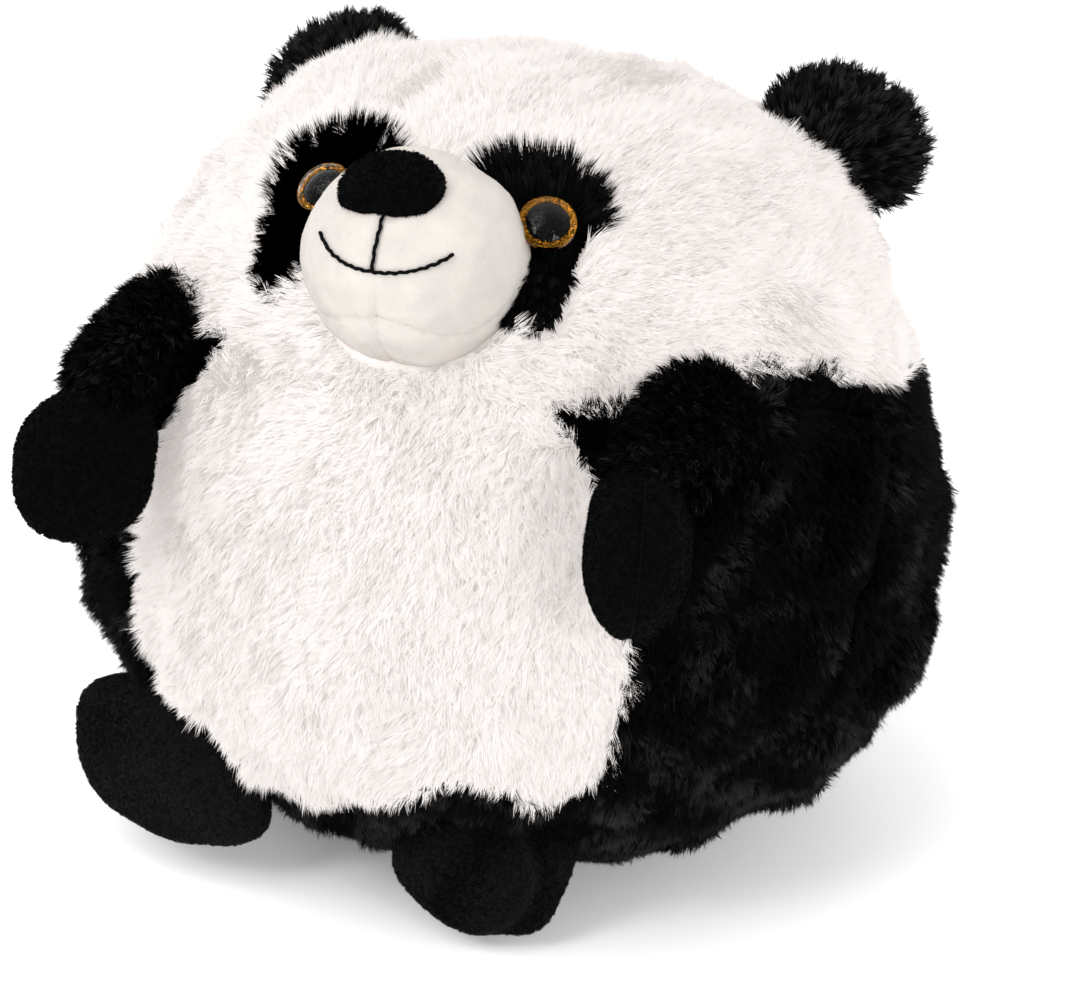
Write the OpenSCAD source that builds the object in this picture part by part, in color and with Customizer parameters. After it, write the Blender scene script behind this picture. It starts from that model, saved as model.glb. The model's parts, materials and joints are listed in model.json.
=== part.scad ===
// Plush panda: a round cushion body with a hand warmer tunnel, a sewn-on muzzle, ears, arms and feet.
// Origin: centre of the flat base, on the floor. +X is the panda's left, -Y its front, +Z up. Millimetres.

/* [Body] */
// Radius of the body at its widest level
body_r = 156.5; // [140:0.5:170]
// Height of the widest level above the floor
waist_z = 95; // [90:1:98]
// Reach of the body above its widest level
top_reach = 179; // [165:1:190]
// Squareness of the outline above the widest level
top_power = 2.3; // [2.1:0.05:2.5]
// Reach of the lower outline below the widest level
low_reach = 100; // [100:1:110]
// Squareness of the outline below the widest level
low_power = 2.25; // [2.1:0.05:2.5]
// Thickness of the plush skin, pile included
skin_t = 8; // [6:0.5:9]
// Radius of the seam around the base panel
base_seam_r = 78; // [70:1:85]

/* [Head and belly] */
// Height of the neck seam at the middle of the body
neck_z = 177; // [170:1:182]
// Slope of the neck seam, higher at the front, in degrees
neck_tilt = 6.8; // [4:0.2:9]
// Distance of the crown seam behind the middle
crown_y = 36; // [30:1:42]
// Height of the widest level of the belly panel
belly_z = 112; // [105:1:120]
// Half width of the belly panel
belly_half_w = 86; // [80:1:92]
// Reach of the belly outline above its widest level
belly_up = 105; // [98:1:112]
// Reach of the belly outline below its widest level
belly_down = 74; // [68:1:78]

/* [Hand opening] */
// Clear width of the hand opening
slot_w = 22; // [18:1:26]
// Clear height of the hand opening along its tilt
slot_h = 86; // [80:1:90]
// Forward place of the middle of the opening
slot_y = -52; // [-56:1:-48]
// Height of the middle of the opening
slot_z = 138; // [134:1:142]
// Tilt of the opening, top towards the back, in degrees
slot_tilt = 20; // [16:1:24]
// Thickness of the lining
lining_t = 2; // [1:0.5:3]

/* [Muzzle] */
// Radius of the muzzle
muzzle_r = 35; // [33:0.5:37]
// Forward place of the muzzle's centre
muzzle_y = -113; // [-115:0.5:-111]
// Height of the muzzle's centre
muzzle_z = 226; // [223:0.5:229]
// Thickness of the muzzle cloth
muzzle_t = 2; // [1.5:0.25:3]
// Drop of the chin seam below the level of the centre, in degrees
chin_drop = 26; // [20:1:30]
// Elevation of the nose on the muzzle, in degrees
nose_el = 55; // [50:1:60]
// Height of the nose above the muzzle
nose_t = 4; // [3:0.5:5]
// Half width of the nose
nose_half_w = 18.5; // [16:0.5:20]
// Radius of the mouth thread
thread_r = 0.6; // [0.4:0.1:0.8]

/* [Eyes] */
// Angle of the eyes from the middle of the face, in degrees
eye_az = 20.6; // [19:0.2:22]
// Height of the eyes on the face
eye_z = 238.5; // [236:0.5:241]
// Upward look of the eyes, in degrees
eye_el = 45; // [42:1:48]
// Radius of the eye, that of an 18 mm safety eye
eye_r = 9; // [8:0.5:9]
// Radius of the pupil
pupil_r = 6; // [5:0.5:6.5]
// Radius of the eye's stem
stem_r = 2.5; // [2:0.25:3]
// Radius of the black patch around the eye
patch_r = 20; // [18:0.5:22]
// Radius of the patch's lower tip
patch_tip_r = 11; // [9:0.5:12]
// Distance from the middle of the patch down to the middle of its tip
patch_drop = 20; // [18:0.5:22]

/* [Ears] */
// Radius of the ear
ear_r = 30; // [27:0.5:32]
// Half thickness of the ear
ear_half_t = 9; // [8:0.5:10]
// Height of the ear's hinge line below its centre
ear_hinge = 4.5; // [4:0.5:5]
// Radius of the rolled root of the ear
ear_root_r = 9.2; // [8.5:0.1:10.2]

/* [Arms] */
// Radius of the shoulder
shoulder_r = 20; // [18:0.5:21]
// Radius of the sleeve
sleeve_r = 14; // [12:0.5:15]
// Radius of the paw
paw_r = 25; // [22:0.5:26]
// Half thickness of the paw
paw_half_t = 15; // [12:0.5:16]

/* [Feet] */
// Radius of the foot
foot_r = 24.5; // [23:0.5:25]
// Half thickness of the foot
foot_half_t = 17; // [15:0.5:20]
// Thickness of the cloth on the limbs
cloth_t = 1.5; // [1:0.25:2]

/* [Hidden] */

$fn = 64;
WHITE = [0.93, 0.92, 0.9];
OFF_WHITE = [0.95, 0.94, 0.91];
BLACK = [0.06, 0.06, 0.065];
CHARCOAL = [0.14, 0.14, 0.15];
FILLING = [0.85, 0.83, 0.8];
// Edge of the large blocks that cut the panels apart
block = 400;
// Gap around the feet and the eyes
gap = 0.6;
// Room around the root of an ear and around an arm, which swing in it
ear_gap = 2;
arm_gap = 2.5;
// Angle between neighbouring points of the body's outline
outline_step = 7.5;
// Centre of the left ear
ear_at = [95.1, 46.1, 245.8];
// Turn of the ear: azimuth of its face, elevation of its face, roll of its hinge line
ear_turn = [25, 47, -45];
// Half of the straight length of the ear's root
ear_root_half_l = 17;
// Pivot of the left arm, in the middle of the shoulder, and half of the shoulder's straight length
shoulder_at = [97, -109, 185];
shoulder_half_l = 2;
// Middle of each paw, measured as on the left side
paw_left_at = [89, -150, 161];
paw_right_at = [92, -151, 153];
// Azimuth that each paw's flat face looks to, measured as on the left side
paw_left_az = 108;
paw_right_az = -42;
// Middle of each foot
foot_left_at = [41, -124, 26];
foot_right_at = [-70, -122, 40];
// Azimuth of each foot's sole, rise of its long axis to the outer side, half of its straight length
foot_left_turn = [18, 0];
foot_right_turn = [-12, 14];
foot_left_half_l = 6;
foot_right_half_l = 19;
foot_look_up = 12;
// Closing stitches: first height, spacing, number, half length
closing_z = 40;
closing_step = 6;
closing_count = 7;
closing_half_l = 4;
// Line between nose and mouth: its lower end's elevation on the muzzle and its sweep, in degrees
philtrum_low = 7;
philtrum_sweep = 29;
// Circle of the smile: distance of its plane from the muzzle's centre, elevation, half angle
smile_off = 24;
smile_el = 53;
smile_half_angle = 55;
// Corner circles of the nose: side radius and height, lower radius and height
nose_side_r = 9;
nose_side_up = 4;
nose_low_r = 10;
nose_low_up = -2;
// Depth of the nose's base under the muzzle's surface, and height of the block that shapes the nose
nose_base = 12;
nose_block = 20;
// Eye: height and thickness of the iris ring, seat of the pupil and dome, rise of each, wall of the dome
iris_up = 0.2;
iris_t = 2.4;
eye_seat = 2.6;
pupil_rise = 2.4;
lens_rise = 4.4;
lens_t = 1.8;
lens_inner_rise = 3.2;
// Room around a stem, and how far the stem and its pocket in the stuffing go behind the skin
stem_gap = 0.1;
stem_below = 4;
pocket_below = 5;
// Washer behind the skin: depth of its far side and its thickness
washer_below = 3.4;
washer_t = 1.6;
// Number of steps around the upper and lower arc of an eye patch
patch_top_steps = 12;
patch_low_steps = 8;

function power_cos(a, p) = pow(cos(a), 2 / p);
function power_sin(a, p) = pow(sin(a), 2 / p);
function body_radius(z) = let (reach = z > waist_z ? top_reach : low_reach,
    p = z > waist_z ? top_power : low_power)
    body_r * pow(1 - pow(abs(z - waist_z) / reach, p), 1 / p);
// Outline of the body shrunk by d, from the cut at the base to the top
function low_start(d) = asin(pow((waist_z - d) / (low_reach - d), low_power / 2));
function low_outline(d) = [for (i = [0:9]) let (a = low_start(d) * (1 - i / 10))
    [(body_r - d) * power_cos(a, low_power), waist_z - (low_reach - d) * power_sin(a, low_power)]];
function top_outline(d) = [for (a = [0:outline_step:82.5])
    [(body_r - d) * power_cos(a, top_power), waist_z + (top_reach - d) * power_sin(a, top_power)]];
function body_outline(d) = concat([[0, d]], low_outline(d), top_outline(d),
    [[0, waist_z + top_reach - d]]);

module ball(d) {
    rotate_extrude() polygon(body_outline(d));
}

module skin() {
    difference() {
        ball(0);
        ball(skin_t);
    }
}

// Block that fills the half space behind the local origin, along +Y
module half_space() {
    translate([-block, 0, -block]) cube([2 * block, block, 2 * block]);
}

module above_neck() {
    translate([0, 0, neck_z]) rotate([-neck_tilt, 0, 0])
        translate([-block / 2, -block / 2, 0]) cube([block, block, block]);
}

module slot(grow, half_l) {
    translate([0, slot_y, slot_z]) rotate([-slot_tilt, 0, 0]) rotate([90, 0, 90])
        linear_extrude(2 * half_l, center = true) {
            square([slot_w + 2 * grow, slot_h - slot_w], center = true);
            translate([0, (slot_h - slot_w) / 2]) circle(slot_w / 2 + grow);
            translate([0, (slot_w - slot_h) / 2]) circle(slot_w / 2 + grow);
        }
}

// Moves its children to the body's surface, local +Z outward at elevation el, local +Y up the slope
module on_body(az, z, el) {
    rotate([0, 0, az]) translate([0, -body_radius(z), z]) rotate([90 - el, 0, 0]) children();
}

module on_eye() {
    on_body(eye_az, eye_z, eye_el) children();
}

module mirrored(side) {
    if (side > 0) children();
    else mirror([1, 0, 0]) children();
}

// Two equal spherical caps, rim radius r and half thickness t, rim in the local XY plane
module lens(r, t) {
    cap_r = (r * r + t * t) / (2 * t);
    intersection() {
        translate([0, 0, cap_r - t]) sphere(cap_r);
        translate([0, 0, t - cap_r]) sphere(cap_r);
    }
}

// A lens pulled out along local X by half_l on each side
module long_lens(r, t, half_l) {
    cap_r = (r * r + t * t) / (2 * t);
    translate([half_l, 0, 0]) lens(r, t);
    translate([-half_l, 0, 0]) lens(r, t);
    rotate([90, 0, 90]) linear_extrude(2 * half_l, center = true) intersection() {
        translate([0, cap_r - t]) circle(cap_r);
        translate([0, t - cap_r]) circle(cap_r);
    }
}

module capsule(r, half_l) {
    translate([half_l, 0, 0]) sphere(r);
    translate([-half_l, 0, 0]) sphere(r);
    rotate([0, 90, 0]) cylinder(r = r, h = 2 * half_l, center = true);
}

// ---- Ears

module in_ear() {
    translate(ear_at) rotate([0, 0, ear_turn[0]]) rotate([90 - ear_turn[1], 0, 0])
        rotate([0, 0, ear_turn[2]]) children();
}

// Rolled root of the ear, round about its hinge line
module ear_root(grow) {
    translate([0, -ear_hinge, 0]) capsule(ear_root_r + grow, ear_root_half_l);
}

module ear_shape() {
    ear_root(0);
    intersection() {
        lens(ear_r, ear_half_t);
        translate([0, -ear_hinge, 0]) half_space();
    }
}

module ear_half(side, front) {
    color(BLACK) mirrored(side) in_ear() intersection() {
        ear_shape();
        rotate([front ? 90 : -90, 0, 0]) half_space();
    }
}

// ---- Arms

function paw_at(side) = side > 0 ? paw_left_at : paw_right_at;
function paw_az(side) = side > 0 ? paw_left_az : paw_right_az;

module along(from, to) {
    d = to - from;
    translate(from) rotate([0, acos(d[2] / norm(d)), atan2(d[1], d[0])]) children();
}

module in_paw(side) {
    translate(paw_at(side)) rotate([0, 0, paw_az(side)]) rotate([90, 0, 0]) children();
}

module sleeve_shape(side, shrink) {
    translate(shoulder_at) rotate([180, 0, 0]) capsule(shoulder_r - shrink, shoulder_half_l);
    along(shoulder_at, paw_at(side))
        cylinder(r = sleeve_r - shrink, h = norm(paw_at(side) - shoulder_at));
}

module paw_shape(side, shrink) {
    in_paw(side) lens(paw_r - shrink, paw_half_t - shrink);
}

module sleeve(side) {
    color(BLACK) mirrored(side) difference() {
        sleeve_shape(side, 0);
        sleeve_shape(side, cloth_t);
        paw_shape(side, 0);
    }
}

module arm_stuffing(side) {
    color(FILLING) mirrored(side) {
        sleeve_shape(side, cloth_t);
        paw_shape(side, cloth_t);
    }
}

module paw_half(side, front) {
    color(CHARCOAL) mirrored(side) difference() {
        intersection() {
            paw_shape(side, 0);
            in_paw(side) rotate([front ? 90 : -90, 0, 0]) half_space();
        }
        paw_shape(side, cloth_t);
        sleeve_shape(side, cloth_t);
    }
}

// ---- Feet

function foot_at(side) = side > 0 ? foot_left_at : foot_right_at;
function foot_turn(side) = side > 0 ? foot_left_turn : foot_right_turn;
function foot_half_l(side) = side > 0 ? foot_left_half_l : foot_right_half_l;

module in_foot(side) {
    translate(foot_at(side)) rotate([0, 0, foot_turn(side)[0]]) rotate([0, foot_turn(side)[1], 0])
        rotate([90 - foot_look_up, 0, 0]) children();
}

module foot_shape(side, shrink) {
    in_foot(side) long_lens(foot_r - shrink, foot_half_t - shrink, foot_half_l(side));
}

module foot_half(side, front) {
    color(CHARCOAL) difference() {
        intersection() {
            foot_shape(side, 0);
            in_foot(side) rotate([front ? 90 : -90, 0, 0]) half_space();
        }
        foot_shape(side, cloth_t);
    }
}

module foot_stuffing(side) {
    color(FILLING) foot_shape(side, cloth_t);
}

// ---- Body

// Everything that is cut out of the body for the moving parts and the hand opening
module recesses() {
    for (side = [-1, 1]) mirrored(side) {
        in_ear() ear_root(ear_gap);
        sleeve_shape(side, -arm_gap);
    }
    for (side = [-1, 1]) in_foot(side) capsule(foot_r + gap, foot_half_l(side));
    slot(lining_t, 1.2 * body_r);
}

module below_belly() {
    cylinder(r = base_seam_r, h = waist_z / 2);
}

function belly_x(a) = belly_half_w * (a > 180 ? pow(abs(cos(a)), 2 / 2.5) : abs(cos(a)))
    * sign(cos(a));
function belly_h(a) = a > 180 ? -belly_down * pow(abs(sin(a)), 2 / 2.5) : belly_up * sin(a);

module belly_prism() {
    translate([0, 0, belly_z]) rotate([90, 0, 0]) linear_extrude(block)
        polygon([for (a = [5:10:355]) [belly_x(a), belly_h(a)]]);
}

module behind_side_seam() {
    translate([0, slot_y, slot_z]) rotate([-slot_tilt, 0, 0]) half_space();
}

module half_body(side) {
    rotate([0, 0, side > 0 ? -90 : 90]) half_space();
}

// Outline of an eye patch: two arcs joined by their common tangents, the small one below
patch_lean = asin((patch_r - patch_tip_r) / patch_drop);
function patch_outline() = concat(
    [for (i = [0:patch_top_steps])
        let (a = patch_lean + i * (180 - 2 * patch_lean) / patch_top_steps)
        patch_r * [cos(a), sin(a)]],
    [for (i = [0:patch_low_steps])
        let (a = 180 - patch_lean + i * (180 + 2 * patch_lean) / patch_low_steps)
        patch_tip_r * [cos(a), sin(a)] - [0, patch_drop]]);

module patch_prism() {
    on_eye() translate([0, 0, -2 * skin_t]) linear_extrude(4 * skin_t)
        polygon(patch_outline());
}

module body_stuffing() {
    color(FILLING) difference() {
        ball(skin_t);
        recesses();
        for (side = [-1, 1]) mirrored(side)
            on_eye() translate([0, 0, -skin_t - pocket_below])
                cylinder(r = eye_r + gap, h = pocket_below + 1);
    }
}

module hand_lining() {
    color(CHARCOAL) intersection() {
        difference() {
            slot(lining_t, 1.2 * body_r);
            slot(0, 1.3 * body_r);
        }
        ball(0);
    }
}

module head_front() {
    color(WHITE) difference() {
        intersection() {
            skin();
            above_neck();
        }
        translate([0, crown_y, 0]) half_space();
        recesses();
        for (side = [-1, 1]) mirrored(side) patch_prism();
    }
}

module head_back() {
    color(WHITE) difference() {
        intersection() {
            skin();
            above_neck();
            translate([0, crown_y, 0]) half_space();
        }
        recesses();
    }
}

module belly_panel() {
    color(WHITE) difference() {
        intersection() {
            skin();
            belly_prism();
        }
        above_neck();
        recesses();
    }
}

module side_panel(side) {
    color(BLACK) difference() {
        intersection() {
            skin();
            half_body(side);
        }
        above_neck();
        behind_side_seam();
        belly_prism();
        below_belly();
        recesses();
    }
}

module back_panel(side) {
    color(BLACK) difference() {
        intersection() {
            skin();
            half_body(side);
            behind_side_seam();
        }
        above_neck();
        below_belly();
        recesses();
    }
}

module base_panel() {
    color(BLACK) difference() {
        intersection() {
            skin();
            below_belly();
        }
        recesses();
    }
}

module closing_stitches() {
    color(BLACK) for (i = [0:closing_count - 1]) let (z = closing_z + i * closing_step)
        translate([0, body_radius(z) + thread_r, z]) rotate([0, 90, 0])
            cylinder(r = thread_r, h = 2 * closing_half_l, center = true);
}

// ---- Muzzle

module on_muzzle(el) {
    translate([0, muzzle_y, muzzle_z]) rotate([90 - el, 0, 0]) children();
}

// The muzzle's sides give way beside the eyes
module eye_room() {
    for (side = [-1, 1]) mirrored(side) on_eye() cylinder(r = eye_r + gap, h = 2 * eye_r);
}

module muzzle_panel(side, upper) {
    color(OFF_WHITE) difference() {
        intersection() {
            on_muzzle(0) sphere(muzzle_r);
            half_body(side);
        }
        on_muzzle(0) sphere(muzzle_r - muzzle_t);
        on_muzzle(-chin_drop) rotate([0, 0, upper ? 180 : 0]) half_space();
        ball(0);
        eye_room();
    }
}

module muzzle_stuffing() {
    color(FILLING) difference() {
        on_muzzle(0) sphere(muzzle_r - muzzle_t);
        ball(0);
        eye_room();
    }
}

// Rounded triangle of the nose, wide at the top
module nose_prism(shrink) {
    side_x = nose_half_w - nose_side_r;
    on_muzzle(nose_el) translate([0, 0, muzzle_r - nose_base]) linear_extrude(nose_block) {
        for (side = [-1, 1]) translate([side * side_x, nose_side_up]) circle(nose_side_r - shrink);
        translate([0, nose_low_up]) circle(nose_low_r - shrink);
        translate([0, nose_side_up]) square([2 * side_x, 2 * (nose_side_r - shrink)], center = true);
    }
}

module nose_layer(from, to, shrink) {
    intersection() {
        difference() {
            on_muzzle(0) sphere(to);
            on_muzzle(0) sphere(from);
        }
        nose_prism(shrink);
    }
}

module nose_cover() {
    color(CHARCOAL) difference() {
        nose_layer(muzzle_r, muzzle_r + nose_t, 0);
        nose_layer(muzzle_r - 1, muzzle_r + nose_t - cloth_t, cloth_t);
    }
}

module nose_padding() {
    color(FILLING) nose_layer(muzzle_r, muzzle_r + nose_t - cloth_t, cloth_t);
}

module mouth_stitches() {
    path_r = muzzle_r + thread_r;
    smile_r = sqrt(path_r * path_r - smile_off * smile_off);
    color(BLACK) {
        translate([0, muzzle_y, muzzle_z]) rotate([0, -90, 0])
            rotate([0, 0, -90 - philtrum_low - philtrum_sweep])
            rotate_extrude(angle = philtrum_sweep) translate([path_r, 0]) circle(thread_r);
        on_muzzle(smile_el) translate([0, 0, smile_off]) rotate([0, 0, -90 - smile_half_angle])
            rotate_extrude(angle = 2 * smile_half_angle) translate([smile_r, 0]) circle(thread_r);
    }
}

// ---- Eyes

module eye_patch(side) {
    color(BLACK) mirrored(side) difference() {
        intersection() {
            skin();
            patch_prism();
        }
        on_eye() translate([0, 0, -2 * skin_t]) cylinder(r = stem_r + stem_gap, h = 3 * skin_t);
    }
}

module eye_iris(side) {
    color([0.7, 0.5, 0.15]) mirrored(side) on_eye() difference() {
        translate([0, 0, iris_up]) cylinder(r = eye_r, h = iris_t);
        cylinder(r = stem_r + stem_gap, h = 2 * eye_r, center = true);
    }
}

// Spherical cap with base radius r and height h, base in the local XY plane
module cap(r, h) {
    cap_r = (r * r + h * h) / (2 * h);
    intersection() {
        translate([0, 0, h - cap_r]) sphere(cap_r);
        cylinder(r = 2 * r, h = 2 * h);
    }
}

module eye_pupil(side) {
    color([0.02, 0.02, 0.02]) mirrored(side) on_eye() {
        translate([0, 0, eye_seat]) cap(pupil_r, pupil_rise);
        translate([0, 0, -skin_t - stem_below])
            cylinder(r = stem_r, h = skin_t + stem_below + eye_seat);
    }
}

module eye_lens(side) {
    color([0.9, 0.95, 1]) mirrored(side) on_eye() translate([0, 0, eye_seat]) difference() {
        cap(eye_r, lens_rise);
        translate([0, 0, -0.01]) cap(eye_r - lens_t, lens_inner_rise);
    }
}

module eye_washer(side) {
    color([0.9, 0.9, 0.9]) mirrored(side) on_eye() translate([0, 0, -skin_t - washer_below])
        difference() {
            cylinder(r = eye_r, h = washer_t);
            translate([0, 0, -1]) cylinder(r = stem_r + stem_gap, h = washer_t + 2);
        }
}

body_stuffing();
hand_lining();
head_front();
head_back();
belly_panel();
side_panel(1);  // side_panel_left
side_panel(-1);  // side_panel_right
back_panel(1);  // back_panel_left
back_panel(-1);  // back_panel_right
base_panel();
muzzle_panel(1, true);  // muzzle_upper_left
muzzle_panel(-1, true);  // muzzle_upper_right
muzzle_panel(1, false);  // muzzle_chin_left
muzzle_panel(-1, false);  // muzzle_chin_right
muzzle_stuffing();
nose_cover();
nose_padding();
mouth_stitches();
closing_stitches();
eye_patch(1);  // eye_patch_left
eye_patch(-1);  // eye_patch_right
eye_iris(1);  // eye_iris_left
eye_iris(-1);  // eye_iris_right
eye_pupil(1);  // eye_pupil_left
eye_pupil(-1);  // eye_pupil_right
eye_lens(1);  // eye_lens_left
eye_lens(-1);  // eye_lens_right
eye_washer(1);  // eye_washer_left
eye_washer(-1);  // eye_washer_right
ear_half(1, true);  // ear_left_front
ear_half(1, false);  // ear_left_back
ear_half(-1, true);  // ear_right_front
ear_half(-1, false);  // ear_right_back
sleeve(1);  // sleeve_left
paw_half(1, false);  // paw_inner_left
paw_half(1, true);  // paw_outer_left
arm_stuffing(1);  // arm_stuffing_left
sleeve(-1);  // sleeve_right
paw_half(-1, false);  // paw_inner_right
paw_half(-1, true);  // paw_outer_right
arm_stuffing(-1);  // arm_stuffing_right
foot_half(1, false);  // foot_top_left
foot_half(1, true);  // foot_sole_left
foot_stuffing(1);  // foot_stuffing_left
foot_half(-1, false);  // foot_top_right
foot_half(-1, true);  // foot_sole_right
foot_stuffing(-1);  // foot_stuffing_right
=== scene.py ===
"""Plush panda: soft covers with real pile, velour limbs, a sewn face and glitter eyes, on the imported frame.

Lengths are in millimetres, except on the stage. A side is 1 on the panda's left and -1 on its right."""
import json
import math
import bmesh
import bpy
import numpy as np
from mathutils import Matrix, Vector
from mathutils.kdtree import KDTree


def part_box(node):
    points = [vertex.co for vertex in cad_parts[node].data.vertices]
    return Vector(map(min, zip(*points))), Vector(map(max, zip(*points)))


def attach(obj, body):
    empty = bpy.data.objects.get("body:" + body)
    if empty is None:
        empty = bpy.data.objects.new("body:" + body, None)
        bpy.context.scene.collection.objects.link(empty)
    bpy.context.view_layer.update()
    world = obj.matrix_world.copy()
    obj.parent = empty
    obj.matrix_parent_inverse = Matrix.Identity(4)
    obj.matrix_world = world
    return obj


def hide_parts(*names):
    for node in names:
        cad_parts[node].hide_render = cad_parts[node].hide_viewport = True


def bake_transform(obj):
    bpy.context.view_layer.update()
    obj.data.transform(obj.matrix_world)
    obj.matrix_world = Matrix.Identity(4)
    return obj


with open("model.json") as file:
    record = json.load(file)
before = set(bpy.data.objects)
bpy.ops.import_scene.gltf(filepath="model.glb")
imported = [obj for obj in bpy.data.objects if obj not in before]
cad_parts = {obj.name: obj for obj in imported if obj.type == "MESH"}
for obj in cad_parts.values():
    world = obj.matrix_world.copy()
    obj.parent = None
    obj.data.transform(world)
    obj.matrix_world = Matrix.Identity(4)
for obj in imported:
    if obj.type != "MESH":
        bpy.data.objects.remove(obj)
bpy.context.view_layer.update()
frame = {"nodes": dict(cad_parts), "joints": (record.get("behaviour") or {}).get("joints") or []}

MM = 0.001
rng = np.random.default_rng(11)
UV_NAME = "OFBake"


# ---------------------------------------------------------------- measures, as far as can be from the frame

def node_box(node):
    low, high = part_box(node)
    return np.array(low) / MM, np.array(high) / MM


def joint_place(name):
    found = [j for j in frame["joints"] if j["name"] == name][0]
    return np.array(found["pos_m"]) / MM


BODY_R = node_box("back_panel_left")[1][0]
TOP_Z = node_box("head_front")[1][2]
WAIST_Z = 95.0
TOP_REACH = TOP_Z - WAIST_Z
TOP_POWER = 2.3
LOW_REACH = 100.0
LOW_POWER = 2.25
MUZZLE_R = 35.0
MUZZLE_AT = np.array([0.0, -113.0, node_box("muzzle_upper_left")[1][2] - MUZZLE_R])
BASE_R = node_box("base_panel")[1][0]
NECK_Z = 177.0
NECK_SLOPE = math.tan(math.radians(6.8))
CROWN_Y = 36.0
BROW_AT = np.array([-76.0, -4.0, 258.0])
# The belly panel's middle height, its reaches up and down from there, and its half width on each side
BELLY_Z, BELLY_UP, BELLY_DOWN = 108.0, 112.0, 72.0
BELLY_LEFT, BELLY_RIGHT = 86.0, 92.0
BELLY_BOTTOM_Z = 42.0
# The hand opening in the side view; only the flanks, beyond SLOT_X, have one
SLOT_X = 90.0
SLOT_Y, SLOT_Z = -52.0, 138.0
SLOT_TILT = math.radians(26.0)
SLOT_HALF_H = 38.0
SLOT_HALF_W = 2.6


def unit(v):
    v = np.asarray(v, float)
    return v / np.maximum(np.linalg.norm(v, axis=-1, keepdims=True), 1e-9)


def turned(axis, degrees):
    """Rotation matrix about an axis."""
    return np.array(Matrix.Rotation(math.radians(degrees), 3, Vector(axis)))


# ---------------------------------------------------------------- smooth noise

NOISE_WAVES = 14
noise_dir = unit(np.random.default_rng(3).normal(size=(NOISE_WAVES, 3)))
noise_phase = np.random.default_rng(4).uniform(0, 2 * math.pi, (8, NOISE_WAVES))


def noise(points, scale, channel=0):
    """Smooth noise of about unit size, whose bumps are about scale millimetres apart."""
    k = 2 * math.pi / scale
    stretch = np.linspace(0.6, 1.5, NOISE_WAVES)
    waves = np.sin(points @ (noise_dir * (k * stretch)[:, None]).T + noise_phase[channel])
    return waves.sum(axis=1) * math.sqrt(2.0 / NOISE_WAVES)


def bump(d, width):
    """A smooth hill of height 1 where d is 0."""
    return np.exp(-(d / width) ** 2)


def smooth_step(t):
    return t * t * (3 - 2 * t)


# ---------------------------------------------------------------- the body's surface

def outline_at(z):
    """Height over the waist, with the reach and the power of that half of the outline."""
    z = np.asarray(z, float) - WAIST_Z
    return z, np.where(z > 0, TOP_REACH, LOW_REACH), np.where(z > 0, TOP_POWER, LOW_POWER)


def body_radius(z):
    z, reach, power = outline_at(z)
    return BODY_R * np.clip(1 - (np.abs(z) / reach) ** power, 0, None) ** (1 / power)


def body_normal(points):
    z, reach, power = outline_at(points[:, 2])
    rho = np.maximum(np.hypot(points[:, 0], points[:, 1]), 1e-6)
    out = (rho / BODY_R) ** (power - 1) / BODY_R
    up = np.sign(z) * (np.abs(z) / reach) ** (power - 1) / reach
    n = np.stack([points[:, 0] / rho * out, points[:, 1] / rho * out, up], -1)
    return unit(n)


def azimuth_of(points):
    """Degrees round the body from straight ahead, positive on the panda's left."""
    return np.degrees(np.arctan2(points[:, 0], -points[:, 1]))


def neck_height(points):
    """Height of the neck seam; it rises over the shoulders, more on the panda's left."""
    azimuth = azimuth_of(points)
    rise = 16 * bump(azimuth - 57, 18) + 8 * bump(azimuth + 44, 16)
    rise += 5 * np.clip((np.abs(azimuth) - 60) / 20, 0, 1)
    return NECK_Z - NECK_SLOPE * points[:, 1] + rise


def belly_half_width(points):
    """Half width of the belly panel at each point's height; it is wider on the panda's right."""
    d = points[:, 2] - BELLY_Z
    right = points[:, 0] < 0
    up = np.clip(1 - np.clip(d / BELLY_UP, 0, 1) ** np.where(right, 2.4, 1.8), 0, None) ** 0.5
    down = np.clip(1 - np.clip(-d / BELLY_DOWN, 0, 1) ** 2.6, 0, None) ** 0.45
    return np.where(right, BELLY_RIGHT, BELLY_LEFT) * np.where(d > 0, up, down)


def belly_bottom(points):
    """Height of the belly panel's lower edge; the left foot lifts it."""
    return BELLY_BOTTOM_Z + 27.0 * bump(points[:, 0] - 42, 30)


def side_seam_y(z):
    """Depth of the seam between side and back panels, which runs through the hand opening."""
    return SLOT_Y + math.tan(SLOT_TILT) * (z - SLOT_Z)


def region(points):
    """Panel of each point: 0 head front, 1 head back, 2 belly, 3 side left, 4 side right, 5 back left,
    6 back right, 7 base."""
    x, y, z = points.T
    head = z > neck_height(points)
    belly = ~head & (y < 0) & (np.abs(x) < belly_half_width(points)) & (z > belly_bottom(points))
    behind = y > side_seam_y(z)
    base = ~head & (np.hypot(x, y) < BASE_R) & (z < 30)
    code = np.where(behind, np.where(x > 0, 5, 6), np.where(x > 0, 3, 4))
    code = np.where(belly, 2, code)
    code = np.where(base, 7, code)
    return np.where(head, np.where(y > CROWN_Y, 1, 0), code)


def slot_distance(points):
    """Signed distance to the edge of the hand opening, measured in the side view; negative inside."""
    y, z = points[:, 1] - SLOT_Y, points[:, 2] - SLOT_Z
    along = z * math.cos(SLOT_TILT) + y * math.sin(SLOT_TILT)
    across = y * math.cos(SLOT_TILT) - z * math.sin(SLOT_TILT)
    reach = np.clip(np.abs(along) - (SLOT_HALF_H - SLOT_HALF_W), 0, None)
    return np.hypot(across, reach) - SLOT_HALF_W


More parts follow.
